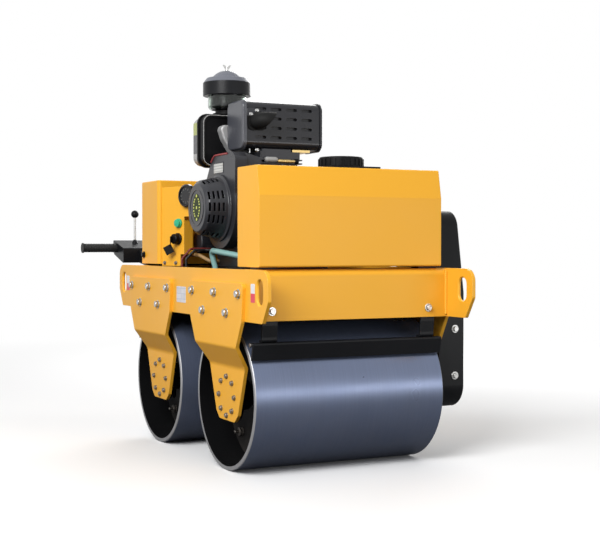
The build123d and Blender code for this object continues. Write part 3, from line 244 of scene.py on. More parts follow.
def studio_floor():
    """Pale floor: a square whose colour fades to the sky's white away from the middle."""
    edge = np.array([(-1, -1, 0), (1, -1, 0), (1, 1, 0), (-1, 1, 0)]) * FLOOR_HALF
    mesh = bpy.data.meshes.new("floor")
    mesh.from_pydata(edge.tolist(), [], [(0, 1, 2, 3)])
    floor = bpy.data.objects.new("floor", mesh)
    scene.collection.objects.link(floor)
    material = bpy.data.materials.new("studio_floor")
    material.use_nodes = True
    tree = material.node_tree
    tree.nodes.clear()
    fade = ramp(tree, length_of(tree, here(tree)), FADE_FROM, FADE_TO, smooth=True)
    seen = seen_by(tree)
    camera_ray = node(tree, "LightPath").outputs["Is Camera Ray"]
    direct = maths(tree, "MULTIPLY", seen, ramp(tree, camera_ray, 0.0, 1.0, MIRRORED, 1.0))
    matt = node(tree, "BsdfDiffuse", Color=tinted(tree, FLOOR_BOUNCE, FLOOR_SEEN, direct))
    white = node(tree, "Emission")
    both = node(tree, "MixShader")
    for socket, source in zip(both.inputs, (maths(tree, "MULTIPLY", fade, seen),
                                            matt.outputs[0], white.outputs[0])):
        link(tree, source, socket)
    node(tree, "OutputMaterial", Surface=both.outputs[0])
    mesh.materials.append(material)


studio_floor()
print("floor", 2 * FLOOR_HALF, "m wide")

# %% Lamps
MIDDLE = (0.0, 0.0, 500.0)
# name, where it stands, width and height in metres, watts
LAMPS = (("key_lamp", (-3100, -2500, 2900), 2.4, 2.4, 222),
         ("strip_lamp", (1500, -3500, 560), 3.2, 0.5, 25),
         ("side_lamp", (-3000, -500, 900), 2.0, 1.0, 6),
         ("fill_lamp", (2600, 3200, 2400), 3.0, 3.0, 130))


def soft_lamp(name, at, width, height, power):
    """Rectangular area lamp at a drawing point, aimed at the machine's middle."""
    data = bpy.data.lights.new(name, "AREA")
    data.shape = "RECTANGLE"
    data.size, data.size_y = width, height
    data.energy = power
    lamp = bpy.data.objects.new(name, data)
    lamp.location = place(at)
    aim = Vector(place(MIDDLE)) - lamp.location
    lamp.rotation_mode = "QUATERNION"
    lamp.rotation_quaternion = aim.to_track_quat("-Z", "Y")
    scene.collection.objects.link(lamp)


for lamp_row in LAMPS:
    soft_lamp(*lamp_row)
print(len(LAMPS), "lamps")

# %% [markdown]
# ## Shared effects as node groups
#
# Paint, steel and plastic all vary a little over their surface. Each such effect is one node
# group with named inputs, built once and placed in every material that needs it with its own
# numbers. A group gives out only colours, masks and heights; the shader itself stays in the
# material.

# %% Node group helper
SOCKETS = {"float": "NodeSocketFloat", "color": "NodeSocketColor", "vector": "NodeSocketVector"}


def group(name, inputs, outputs):
    """New shader node group. inputs maps a socket name to (kind, default); outputs to a kind."""
    tree = bpy.data.node_groups.new(name, "ShaderNodeTree")
    for key, (kind, default) in inputs.items():
        socket = tree.interface.new_socket(name=key, in_out="INPUT", socket_type=SOCKETS[kind])
        socket.default_value = default
    for key, kind in outputs.items():
        tree.interface.new_socket(name=key, in_out="OUTPUT", socket_type=SOCKETS[kind])
    enter = tree.nodes.new("NodeGroupInput").outputs
    leave = tree.nodes.new("NodeGroupOutput").inputs
    return tree, enter, leave


def use(tree, name, **settings):
    """Place a node group in a material, feed it, and return its outputs."""
    return node(tree, "Group", node_tree=bpy.data.node_groups[name], **settings).outputs


print("node group helper ready")

# %% [markdown]
# ### Tone drift
#
# No sprayed or cast surface has one colour. A slow noise in the object's own space pulls the
# colour a few percent lighter or darker, and a finer one speckles it.

# %% Tone drift
def build_tone_drift():
    """Colour times 1 + Amount * (slow noise - 0.5) + Speckle * (fine noise - 0.5)."""
    tree, enter, leave = group("tone_drift", {
        "Colour": ("color", (0.5, 0.5, 0.5, 1)), "Amount": ("float", 0.1),
        "Scale": ("float", 4.0), "Speckle": ("float", 0.05), "Speckle Scale": ("float", 300.0)},
        {"Colour": "color", "Slow": "float", "Fine": "float"})
    spot = here(tree)
    gain = 1.0
    for scale, amount, name in (("Scale", "Amount", "Slow"), ("Speckle Scale", "Speckle", "Fine")):
        value = noise(tree, Detail=3.0, Roughness=0.55, Vector=spot, Scale=enter[scale])
        link(tree, value, leave[name])
        centred = maths(tree, "SUBTRACT", value, 0.5)
        gain = maths(tree, "ADD", maths(tree, "MULTIPLY", centred, enter[amount]), gain)
    link(tree, scaled(tree, enter["Colour"], gain), leave["Colour"])


build_tone_drift()
print("tone drift group")

# %% [markdown]
# ### Dust
#
# Fine dust settles on faces that look up and creeps up the lowest parts of a machine that works
# on the ground. The mask grows where the surface faces up and where it is near the ground, and
# a blotchy noise breaks it up.

# %% Dust
DUST_TOP, DUST_FOOT = 0.42, 0.02       # metres above the ground where dust begins and is full
DUST_UPWARD = (0.55, 0.98)             # upward share of the normal between none and full
DUST_PATCHES = (0.35, 0.7)             # noise values between a clean and a dusty patch


def build_dust():
    """Mask = Amount * noise * max(Up * upward share, nearness to the ground)."""
    tree, enter, leave = group("dust", {"Amount": ("float", 0.3), "Up": ("float", 0.6)},
                               {"Mask": "float"})
    low = ramp(tree, axis_value(tree, "Z"), DUST_TOP, DUST_FOOT, smooth=True)
    up = ramp(tree, axis_value(tree, "Z", true_normal(tree)), *DUST_UPWARD, smooth=True)
    most = maths(tree, "MAXIMUM", low, maths(tree, "MULTIPLY", up, enter["Up"]))
    blotch = noise(tree, Vector=here(tree), Scale=14.0, Detail=5.0, Roughness=0.65)
    patch = maths(tree, "MULTIPLY", most, ramp(tree, blotch, *DUST_PATCHES))
    link(tree, maths(tree, "MULTIPLY", patch, enter["Amount"], clamp=True), leave["Mask"])


build_dust()
print("dust group")

# %% [markdown]
# ### Soft edges
#
# Sheet steel is never razor sharp: the punch rounds its edge and the paint pools there. A Bevel
# node gives the normal that such a rounded edge would have, so it catches a thin line of light.
# Where that normal differs from the flat one, an edge mask tells the paint where edges are, for a
# painted highlight line and for chips.

# %% Soft edges
EDGE_TURN = (0.995, 0.75)  # cosine of the turn between the normals where the mask goes 0 to 1


def build_edges():
    """Normal = bevelled normal; Mask = 1 - (bevelled normal . true normal), scaled up."""
    tree, enter, leave = group("soft_edges", {"Radius": ("float", 0.002)},
                               {"Normal": "vector", "Mask": "float"})
    rounded = node(tree, "Bevel", samples=6, Radius=enter["Radius"]).outputs[0]
    dot = node(tree, "VectorMath", operation="DOT_PRODUCT", Vector=rounded)
    link(tree, true_normal(tree), dot.inputs[1])
    link(tree, rounded, leave["Normal"])
    link(tree, ramp(tree, dot.outputs["Value"], *EDGE_TURN), leave["Mask"])


build_edges()
print("soft edge group")

# %% [markdown]
# ### Bare places
#
# Paint on a working machine is chipped first along its edges, in short broken runs. The mask is
# the edge mask cut up by a sharp noise, so that only a few places along an edge show it.

# %% Bare places
CHIP_LEVEL, CHIP_STEEP = 0.95, 14.0


def build_chips():
    """Mask = Edge * (noise - (CHIP_LEVEL - Amount)) * CHIP_STEEP, clamped at each product."""
    tree, enter, leave = group("chips", {
        "Edge": ("float", 0.0), "Amount": ("float", 0.3), "Scale": ("float", 60.0)},
        {"Mask": "float"})
    value = noise(tree, Detail=4.0, Roughness=0.6, Vector=here(tree), Scale=enter["Scale"])
    level = maths(tree, "SUBTRACT", CHIP_LEVEL, enter["Amount"])
    step = maths(tree, "MULTIPLY", maths(tree, "SUBTRACT", value, level), CHIP_STEEP, clamp=True)
    link(tree, maths(tree, "MULTIPLY", step, enter["Edge"], clamp=True), leave["Mask"])


build_chips()
print("chips group")

# %% [markdown]
# ## Finishes
#
# Every finish below starts from the same bench: a material with one Principled shader. Numbers
# that hold for the whole surface are typed into the shader; only what changes over the surface
# comes through a link. A surface is done when its colour, its gloss and its bump are fed, and
# most finishes do that in the same way, so one recipe serves them all with other numbers.

# %% Material bench
DUST_TINT = (0.42, 0.37, 0.30, 1)
SLOT_OF = {part["node"]: part["material_slot"] for part in frame["record"]["subparts"]}


def finish(name, **settings):
    """New material with a Principled shader; settings are constant socket values."""
    material = bpy.data.materials.new(name)
    material.use_nodes = True
    tree = material.node_tree
    shader = tree.nodes["Principled BSDF"]
    feed(tree, shader, settings)
    return material, tree, shader


def bumped(tree, shader, height, distance, normal=None):
    """Height times a distance in metres feeds a Bump node that feeds the shader's normal."""
    bump = node(tree, "Bump", Strength=1.0, Distance=distance, Height=height)
    if normal is not None:
        link(tree, normal, bump.inputs["Normal"])
    link(tree, bump.outputs[0], shader.inputs["Normal"])


def colour_and_gloss(tree, shader, base, slow, rough, spread):
    """Colour, and roughness from rough - spread to rough + spread as the slow noise rises."""
    feed(tree, shader, {
        "Base_Color": base,
        "Roughness": ramp(tree, slow, *NOISE_SPAN, rough - spread, rough + spread)})


def dusty(tree, base, **settings):
    """Colour under a breath of dust."""
    return tinted(tree, base, DUST_TINT, use(tree, "dust", **settings)["Mask"])


def nodes_in(slot):
    """CAD nodes whose record slot is this one."""
    return [name for name, used in SLOT_OF.items() if used == slot]


def coat(name, drift, edge, rough, spread, grain, over=None, fine_scale=None, **settings):
    """Surface whose colour and gloss drift, with rounded edges and a bump from a fine noise.

    drift feeds the tone drift; over turns the colour and the edge mask into the final colour."""
    material, tree, shader = finish(name, **settings)
    drifted = use(tree, "tone_drift", **drift)
    fine = use(tree, "tone_drift", Speckle_Scale=fine_scale) if fine_scale else drifted
    edges = use(tree, "soft_edges", Radius=edge)
    base = over(tree, drifted["Colour"], edges["Mask"]) if over else drifted["Colour"]
    colour_and_gloss(tree, shader, base, drifted["Slow"], rough, spread)
    bumped(tree, shader, fine["Fine"], grain, edges["Normal"])
    return material


def dress(material, names):
    """Give CAD nodes a material, on the object so that their meshes stay untouched."""
    for name in names:
        item = NODES[name]
        if not item.material_slots:
            item.data.materials.append(None)
        for slot in item.material_slots:
            slot.link = "OBJECT"
            slot.material = material


print(len(set(SLOT_OF.values())), "slots to dress")

# %% [markdown]
# ### Enamel
#
# The chassis, legs and tanks are sprayed in one warm yellow enamel; guard, scrapers and handle
# are black. Both are the same recipe: a colour that drifts a little, a fine orange-peel bump,
# a painted highlight as a lighter line along each edge, a few chips down to the primer and a
# breath of dust. Gloss is kept modest, because a thick clear coat would wash the yellow out.

# %% Enamel
PRIMER = (0.10, 0.09, 0.08, 1)
ORANGE_PEEL = 0.0002


def enamel(name, colour, rough, drift=0.04, dust=0.10, edge=0.0016, painted_edge_highlight=None, chip=0.0,
           **settings):
    """Sprayed enamel: drifting colour, orange-peel bump, soft edges with a painted highlight line,
    chips and dust.
    """
    def over(tree, base, edges):
        # A lighter colour along the edge mask: a painted highlight where a rounded edge catches
        # light.
        if painted_edge_highlight is not None:
            base = tinted(tree, base, painted_edge_highlight, edges)
        if chip:
            flakes = use(tree, "chips", Amount=chip, Edge=edges)
            base = tinted(tree, base, PRIMER, flakes["Mask"])
        return dusty(tree, base, Amount=dust)
    tone = {"Colour": colour, "Amount": drift, "Scale": 3.0, "Speckle": 0.02}
    return coat(name, tone, edge, rough, 0.05, ORANGE_PEEL, over, **settings)


print("enamel recipe")

# %% [markdown]
# ### Drum steel
#
# The drums are rolled plate, ground smooth by their own work and thinly coated blue-grey. Fine
# grinding lines run round the drum; in the object's space that means a noise squeezed hard
# along X. The turned ends of the shell are bare grey steel, told by a normal along X. The
# inside is sprayed black, told by the distance from the drum's axle, so each drum gets its own
# copy of the recipe with its own axle.

# %% Drum steel
WALL = (0.2035, 0.2055)    # radii in metres inside the shell's wall, where black turns to blue
RIM = (0.4, 0.65)          # sideways share of the normal, from the rolled face to the turned end
LINES = (260, 6, 6)        # grinding lines per metre along X, and how short they are round it
COAT_BLUE = (0.145, 0.176, 0.265, 1)
BARE_END = (0.42, 0.42, 0.43, 1)
INSIDE = (0.012, 0.012, 0.013, 1)


def drum_steel(name, axle):
    """Blue-grey outside with lines round the drum, bare ends, black where the radius is small."""
    material, tree, shader = finish(name, Metallic=0.55, Specular_IOR_Level=0.3)
    drifted = use(tree, "tone_drift", Colour=COAT_BLUE, Amount=0.08, Scale=5.0, Speckle=0.03)
    squeeze = node(tree, "Mapping", Vector=here(tree), Scale=LINES)
    streak = noise(tree, Scale=1.0, Detail=3.0, Vector=squeeze.outputs[0])
    base = scaled(tree, drifted["Colour"], ramp(tree, streak, *NOISE_SPAN, 0.96, 1.04))
    side = maths(tree, "ABSOLUTE", axis_value(tree, "X", true_normal(tree)), 0.0)
    rim = ramp(tree, side, *RIM)
    base = dusty(tree, tinted(tree, base, BARE_END, rim), Amount=0.06, Up=0.0)
    radius = length_of(tree, node(
        tree, "CombineXYZ",
        Y=maths(tree, "SUBTRACT", axis_value(tree, "Y"), axle.y),
        Z=maths(tree, "SUBTRACT", axis_value(tree, "Z"), axle.z)).outputs[0])
    keep = maths(tree, "MAXIMUM", ramp(tree, radius, *WALL), rim)
    colour_and_gloss(tree, shader, tinted(tree, INSIDE, base, keep), drifted["Slow"], 0.30, 0.03)
    bumped(tree, shader, streak, 0.00001)
    return material


for end in ("front", "rear"):
    low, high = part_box(end + "_drum_shell")
    dress(drum_steel(end + "_drum_steel", (low + high) / 2), [end + "_drum_shell"])
print("drum steel on", len(nodes_in("drum_steel")), "shells")

# %% [markdown]
# ### Engine, hoses, rubber and plastic
#
# The engine's sheet and castings wear a dark grey enamel that shines more than the frame's. The
# intake duct and the filter cover are raw castings with a visible grain. Hoses are soft plastic
# with a low sheen. Moulded knobs and caps get a fine spark texture, as their moulds have.

# %% Engine and plastics
def moulded(name, colour, rough=0.45, grain=0.00012, scale=900.0, **settings):
    """Moulded plastic or rubber: even colour, fine spark-eroded grain, soft edges."""
    def over(tree, base, _):
        return dusty(tree, base, Amount=0.02)
    tone = {"Colour": colour, "Amount": 0.10, "Scale": 6.0, "Speckle": 0.10}
    return coat(name, tone, 0.0012, rough, 0.06, grain, over, scale, **settings)


def metal(name, colour, rough=0.3):
    """Bare or plated metal: full metallic with a slow drift in tone and gloss."""
    tone = {"Colour": colour, "Amount": 0.12, "Scale": 30.0, "Speckle": 0.08}
    return coat(name, tone, 0.0008, rough, 0.07, 0.00003, Metallic=1.0)


def casting(name, colour):
    """Sand casting: pale grey with a coarse grain that shows in the bump and the tone."""
    tone = {"Colour": colour, "Amount": 0.15, "Scale": 12.0, "Speckle": 0.25,
            "Speckle Scale": 420.0}
    return coat(name, tone, 0.002, 0.5, 0.08, 0.0005, Metallic=0.35)


def lead_sheath(split_at):
    """Two leads in one node: oxide red behind a plane across Y, black in front of it."""
    material, tree, shader = finish("lead_sheath", Specular_IOR_Level=0.4)
    behind = ramp(tree, axis_value(tree, "Y"), split_at - 0.0005, split_at + 0.0005)
    base = tinted(tree, INSIDE, (0.16, 0.018, 0.014, 1), behind)
    drifted = use(tree, "tone_drift", Scale=20.0)
    grime = ramp(tree, drifted["Slow"], 0.5, 0.8, 0.0, 0.3)
    base = tinted(tree, base, (0.05, 0.04, 0.035, 1), grime)
    colour_and_gloss(tree, shader, base, drifted["Slow"], 0.425, 0.075)
    bumped(tree, shader, drifted["Fine"], 0.0001)
    return material


def clear_bowl():
    """Clear pressed plastic of the dust bowl, a little hazy in places."""
    material, tree, shader = finish("clear_bowl", Transmission_Weight=1.0, IOR=1.45)
    drifted = use(tree, "tone_drift", Colour=(0.50, 0.56, 0.52, 1), Amount=0.05, Scale=20.0)
    colour_and_gloss(tree, shader, drifted["Colour"], drifted["Slow"], 0.075, 0.045)
    return material


# The dome's pale grey above this height is a painted reflection, not a colour of its own.
SHOULDER_Z = 1.1715
DOME_PAINTED_REFLECTION = (0.150, 0.158, 0.185, 1)


def dome_cap_painted_reflection():
    """Black ring below SHOULDER_Z and a pale grey dome above it, in the same smooth plastic; the
    dome's grey is a painted reflection of the sky.
    """
    material, tree, shader = finish("dome_cap_painted_reflection", Roughness=0.34, Specular_IOR_Level=0.2)
    drifted = use(tree, "tone_drift", Colour=(0.005, 0.0055, 0.007, 1), Amount=0.15, Scale=9.0,
                  Speckle=0.05)
    # Above the shoulder the colour turns pale grey: a painted reflection of the sky on the dome.
    above = ramp(tree, axis_value(tree, "Z"), SHOULDER_Z - 0.001, SHOULDER_Z + 0.001)
    feed(tree, shader, {"Base_Color": tinted(tree, drifted["Colour"], DOME_PAINTED_REFLECTION, above)})
    return material


print("recipes for engine, hoses and plastics")

# %% [markdown]
# ### Dressing the nodes
#
# Most slots of the record wear one material each. A few nodes then get a variant: the muffler
# is glossier, its outlet is sooty, its left cap is a paler grey as a painted highlight where it
# faces the key lamp, and the pre-cleaner's top has a painted reflection: a pale grey dome over its
# black ring. Small parts made further down wear their slot's material unless told otherwise.

# %% Dressing
LEAD_SPLIT = float(place((0, 185, 0))[1])
LOOKS = {
    # Each colour given for the edges below is a painted highlight, lighter than the paint itself.
    "yellow_paint": enamel("yellow_paint", (0.88, 0.43, 0.030, 1), 0.40, chip=0.22,
                           painted_edge_highlight=(0.96, 0.58, 0.14, 1), Specular_IOR_Level=0.28),
    "black_paint": enamel("black_paint", (0.007, 0.0075, 0.009, 1), 0.34, drift=0.2, dust=0.02,
                          painted_edge_highlight=(0.04, 0.042, 0.048, 1), Specular_IOR_Level=0.15),
    "drum_inner": enamel("drum_inner", (0.010, 0.010, 0.011, 1), 0.55, dust=0.05,
                         Specular_IOR_Level=0.15),
    "dark_enamel": enamel("dark_enamel", (0.022, 0.023, 0.028, 1), 0.30, drift=0.2, dust=0.03,
                          painted_edge_highlight=(0.06, 0.062, 0.07, 1), Specular_IOR_Level=0.4),
    "cast_grey": casting("cast_grey", (0.42, 0.42, 0.42, 1)),
    "zinc_plate": metal("zinc_plate", (0.50, 0.50, 0.49, 1)),
    "yellow_zinc": metal("yellow_zinc", (0.62, 0.46, 0.20, 1), rough=0.35),
    "clear_bowl": clear_bowl(),
    "green_plastic": moulded("green_plastic", (0.010, 0.42, 0.22, 1), rough=0.25),
    "grip_rubber": moulded("grip_rubber", (0.014, 0.014, 0.014, 1), rough=0.62, grain=0.0004,
                           Specular_IOR_Level=0.3),
    "black_plastic": moulded("black_plastic", (0.004, 0.004, 0.0045, 1), rough=0.42,
                             Specular_IOR_Level=0.12),
    "hose_pvc": moulded("hose_pvc", (0.25, 0.46, 0.44, 1), rough=0.35, grain=0.0001,
                        scale=200.0),
    "hose_tan": moulded("hose_tan", (0.36, 0.22, 0.09, 1), rough=0.5, grain=0.0004, scale=300.0),
    "lead_sheath": lead_sheath(LEAD_SPLIT),
}
gloss_enamel = enamel("gloss_enamel", (0.013, 0.0135, 0.017, 1), 0.26, drift=0.1, dust=0.015,
                      Specular_IOR_Level=0.32, Coat_Weight=0.15, Coat_Roughness=0.12)
VARIANTS = {
    "hour_meter": moulded("gloss_black_plastic", (0.006, 0.0065, 0.008, 1), rough=0.26,
                          grain=0.00004, Specular_IOR_Level=0.3, Coat_Weight=0.1,
                          Coat_Roughness=0.15),
    "pre_cleaner_top": dome_cap_painted_reflection(),
    "muffler": gloss_enamel,
    "muffler_cap_right": gloss_enamel,
    "exhaust_outlet": enamel("sooty_enamel", (0.006, 0.006, 0.006, 1), 0.6, drift=0.3, dust=0.02,
                             Specular_IOR_Level=0.15),
    # The left cap is a lit copy of the muffler's enamel: its paler grey is a painted highlight
    # where it faces the key lamp.
    "muffler_cap_left": enamel("left_cap_painted_highlight", (0.060, 0.063, 0.075, 1), 0.32, drift=0.1,
                               dust=0.02, Specular_IOR_Level=0.5, Coat_Weight=0.15,
                               Coat_Roughness=0.15),
}
for slot, material in LOOKS.items():
    dress(material, nodes_in(slot))
for name, material in VARIANTS.items():
    dress(material, [name])
dull_zinc = metal("dull_zinc", (0.26, 0.24, 0.22, 1), rough=0.42)
# A pale grey: the fuel filter's own colour, and on the air filter's front rim a painted highlight.
pale_grey_and_painted_highlight = moulded("pale_grey_and_painted_highlight", (0.34, 0.34, 0.33, 1), rough=0.5)
print(len(SLOT_OF), "nodes dressed,", len(VARIANTS), "of them in a variant")

# %% [markdown]
# ## Small hardware
#
# What makes a machine look built is its hardware. Each piece below is a surface of revolution
# or a profile carried along a path, worked out as an array of points in drawing millimetres
# and written straight into a mesh, so its object stays at the origin. Repeated things such as
# bolts are one surface stamped at many places and kept as one object.
#
# A surface is a pair: its points and its faces. A spot is a pair too: a place and an axis.

# %% Surface helpers
LEFT, RIGHT, FORWARD, REAR, UP = (-1, 0, 0), (1, 0, 0), (0, -1, 0), (0, 1, 0), (0, 0, 1)


def circle(sides):
    """Unit circle, one row (cos a, sin a) per side."""
    angle = np.linspace(0, 2 * pi, sides, endpoint=False)
    return np.stack([np.cos(angle), np.sin(angle)], axis=-1)


def grid_faces(rows, columns):
    """Quads of a rows x columns grid of points that closes on itself along the columns."""
    row, column = np.meshgrid(np.arange(rows - 1), np.arange(columns), indexing="ij")
    after = (column + 1) % columns
    quads = np.stack([row * columns + column, row * columns + after,
                      (row + 1) * columns + after, (row + 1) * columns + column], axis=-1)
    return quads.reshape(-1, 4)


def facing(axes):
    """Turning matrices whose third column is each unit axis; the other two are square to it."""
    axes = axes / np.linalg.norm(axes, axis=1, keepdims=True)
    helper = np.where(np.abs(axes[:, 2:3]) > 0.9, [[0.0, 1.0, 0.0]], [[0.0, 0.0, 1.0]])
    first = np.cross(helper, axes)
    first = first / np.linalg.norm(first, axis=1, keepdims=True)
    return np.stack([first, np.cross(axes, first), axes], axis=-1)


def stamped(surface, spots):
    """Copies of one surface: each point turned from Z to a spot's axis and moved to its place."""
    points, faces = surface
    places, axes = (np.asarray(column, float) for column in zip(*spots))
    turned = np.einsum("nij,pj->npi", facing(axes), points) + places[:, None]
    shifts = np.arange(len(spots))[:, None, None] * len(points)
    return turned.reshape(-1, 3), (faces[None] + shifts).reshape(-1, faces.shape[1])


def both_sides(x, y, z):
    """Two spots that mirror each other and look outwards."""
    return [((side * x, y, z), (side, 0, 0)) for side in (-1, 1)]


def joined(*surfaces):
    """Several surfaces as one."""
    shift, points, faces = 0, [], []
    for some_points, some_faces in surfaces:
        points.append(some_points)
        faces.append(some_faces + shift)
        shift += len(some_points)
    return np.concatenate(points), np.concatenate(faces)


def oriented(surface, origin, across, up):
    """Surface drawn flat (x across, y up, z out) carried onto a face of the machine."""
    points, faces = surface
    across, up = np.asarray(across, float), np.asarray(up, float)
    across, up = across / np.linalg.norm(across), up / np.linalg.norm(up)
    basis = np.stack([across, up, np.cross(across, up)])
    return points @ basis + np.asarray(origin, float), faces


print("surface helpers ready")

# %% Lathe, sweep and slab
def lathe(profile, sides):
    """Surface of revolution about Z: point = (r cos a, r sin a, h) for each profile (r, h)."""
    profile = np.asarray(profile, float)
    rings = profile[:, None, :1] * circle(sides)[None]
    heights = np.broadcast_to(profile[:, None, 1:], (len(profile), sides, 1))
    points = np.concatenate([rings, heights], axis=-1)
    return points.reshape(-1, 3), grid_faces(len(profile), sides)


def collar(inner, outer, height):
    """Lathe profile of a plain ring."""
    return [(inner, 0), (outer, 0), (outer, height), (inner, height), (inner, 0)]


def swept(path, radius, sides, ripple=1.0):
    """Tube along a path: centre + r (cos a * side + sin a * up), closed at both ends.

    The frame at each point is square to the path's direction there; ripple scales r per point."""
    path = np.asarray(path, float)
    ring = np.column_stack([circle(sides) * radius, np.zeros(sides)])
    scale = np.broadcast_to(ripple, len(path))[:, None, None]
    tube = np.einsum("nij,pj->npi", facing(np.gradient(path, axis=0)), ring) * scale + path[:, None]
    caps = [np.repeat(path[[end]], sides, axis=0)[None] for end in (0, -1)]
    points = np.concatenate([caps[0], tube, caps[1]])
    return points.reshape(-1, 3), grid_faces(len(points), sides)


def slab(outline, low, high, edge):
    """Plate from a closed outline (x, y) with a small bevel on top, between two heights."""
    outline = np.asarray(outline, float)
    middle = outline.mean(axis=0)
    reach = outline - middle
    inner = middle + reach * (1 - edge / np.linalg.norm(reach, axis=1, keepdims=True))
    centre = np.repeat([middle], len(outline), 0)
    rows = [(centre, low), (outline, low), (outline, high - edge), (inner, high), (centre, high)]
    points = [np.column_stack([ring, np.full(len(outline), z)]) for ring, z in rows]
    return np.concatenate(points), grid_faces(len(rows), len(outline))


def rounded_box(width, height, radius, corner=6):
    """Outline of a rectangle with round corners, centred on zero."""
    turn = np.linspace(0, pi / 2, corner)
    arcs = []
    for quarter, (x, y) in enumerate(((1, 1), (-1, 1), (-1, -1), (1, -1))):
        angle = turn + quarter * pi / 2
        arcs.append(np.stack([x * (width / 2 - radius) + radius * np.cos(angle),
                              y * (height / 2 - radius) + radius * np.sin(angle)], axis=-1))
    return np.concatenate(arcs)


def piece(name, surface, slot, material=None, body="chassis", smooth=30):
    """Sealed mesh object from drawing millimetres that rides a body and wears a material."""
    points, faces = surface
    mesh = bpy.data.meshes.new(name)
    mesh.from_pydata(place(points).tolist(), [], faces.tolist())
    shape = bmesh.new()
    shape.from_mesh(mesh)
    bmesh.ops.remove_doubles(shape, verts=shape.verts, dist=1e-6)
    bmesh.ops.dissolve_degenerate(shape, dist=1e-7, edges=shape.edges)
    bmesh.ops.recalc_face_normals(shape, faces=shape.faces)
    for edge in shape.edges:
        edge.smooth = edge.calc_face_angle(pi) < radians(smooth)
    for face in shape.faces:
        face.smooth = True
    shape.to_mesh(mesh)
    shape.free()
    mesh.materials.append(material or LOOKS[slot])
    made = bpy.data.objects.new(name, mesh)
    scene.collection.objects.link(made)
    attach(made, body)
    print(name, "has", len(mesh.polygons), "faces and rides", body)


print("piece helper ready")

# %% [markdown]
# ### Hexagon bolts
#
# The legs hang on plated hexagon bolts with washers. A head is a hexagonal prism whose corners
# are turned away in a lathe, which leaves a round top. One lathe formula gives it all: the
# radius at an angle is that of a circle for the washer, of a hexagon for the flanks, and of a
# circle again on top.

# %% Bolt surface
BOLT_SIDES = 24
WASHER_T = 2.0
# size across the flats, height of the head, radius of the washer
LEG_BOLT, FOOT_BOLT, FRAME_BOLT = (19.0, 9.0, 13.5), (12.0, 5.0, 8.0), (15.0, 7.0, 12.0)
COVER_BOLT, OUTLET_BOLT, PANEL_SCREW = (9.0, 5.0, 6.5), (9.0, 6.0, 6.0), (8.0, 4.0, 6.5)
WEB_NUT, PIVOT_NUT = (16.0, 9.0, 12.0), (22.0, 9.0, 12.0)


def bolt(across, height, washer):
    """Washer and chamfered hexagon head standing on Z = 0.

    Hexagon radius at angle a = across/2 / cos(a folded to -30..30 degrees)."""
    angle = np.linspace(0, 2 * pi, BOLT_SIDES, endpoint=False)
    folded = (angle + pi / 6) % (pi / 3) - pi / 6
    hexagon = across / 2 / np.cos(folded)
    top = WASHER_T + height
    flank = top - 0.12 * across * (hexagon * 2 / across - 1) * 4 - 0.05 * across
    rows = [(0, 0), (washer, 0), (washer, WASHER_T - 0.4), (washer - 0.5, WASHER_T),
            (hexagon, WASHER_T), (hexagon, flank), (0.47 * across, top), (0.30 * across, top),
            (0.27 * across, top - 0.5), (0, top - 0.5)]
    points = [np.stack([r * np.cos(angle), r * np.sin(angle), z + 0 * angle], axis=-1)
              for r, z in rows]
    return np.concatenate(points), grid_faces(len(rows), BOLT_SIDES)


def bolt_set(name, spots, size, material=None):
    """One object on the chassis with a bolt of one size at each spot."""
    piece(name, stamped(bolt(*size), spots), "zinc_plate", material)


print("bolts have", BOLT_SIDES, "sides")

# %% Bolts of the legs and axles
AXLES = {"front": -281.0, "rear": 281.0}
AXLE_Z = 212.5
LEG_BOLTS = ((0.0, 510.0), (-172.0, 510.0), (172.0, 510.0), (-87.0, 455.0), (87.0, 455.0))
FOOT_BOLTS, FOOT_BOLT_R = 8, 56.0
LEG_FACE = corners("front_leg_right")[1][0]
FOOT_FACE = LEG_FACE - 38.0
guard_low, guard_high = corners("drive_guard")


def uncovered(spots):
    """The spots that the drive guard does not cover."""
    return [(at, axis) for at, axis in spots
            if not (at[0] > 0 and guard_low[1] < at[1] < guard_high[1])]


upper, lower = [], []
for side in (-1, 1):
    for axle in AXLES.values():
        upper += [((side * LEG_FACE, axle + y, z), (side, 0, 0)) for y, z in LEG_BOLTS]
        for step in range(FOOT_BOLTS):
            turn = 2 * pi * step / FOOT_BOLTS
            y, z = axle + FOOT_BOLT_R * sin(turn), AXLE_Z + FOOT_BOLT_R * cos(turn)
            lower.append(((side * FOOT_FACE, y, z), (side, 0, 0)))
bolt_set("leg_bolts", uncovered(upper), LEG_BOLT)
bolt_set("axle_bolts", uncovered(lower), FOOT_BOLT, dull_zinc)

# %% Bolts of the frame and guard
beam_low, beam_high = corners("front_beam")
_, rear_high = corners("rear_beam")
STRAP_X, STRAP_Z = 250.0, 462.0
GUARD_X, GUARD_HEIGHTS = 395.0, (391.0, 250.0)
frame_spots = [((x, y, STRAP_Z), axis) for y, axis in ((beam_low[1], FORWARD), (rear_high[1], REAR))
               for x in (-STRAP_X, STRAP_X)]
frame_spots += [((GUARD_X, y, z), axis) for z in GUARD_HEIGHTS
                for y, axis in ((guard_low[1], FORWARD), (guard_high[1], REAR))]
bolt_set("frame_bolts", frame_spots, FRAME_BOLT)

# %% [markdown]
# ### Bosses and lug of the engine
#
# The recoil starter's cup is screwed to four turned bosses on the fan shroud. The exhaust
# outlet is held to the muffler by a pressed lug with two bolts, and a third sits below it.

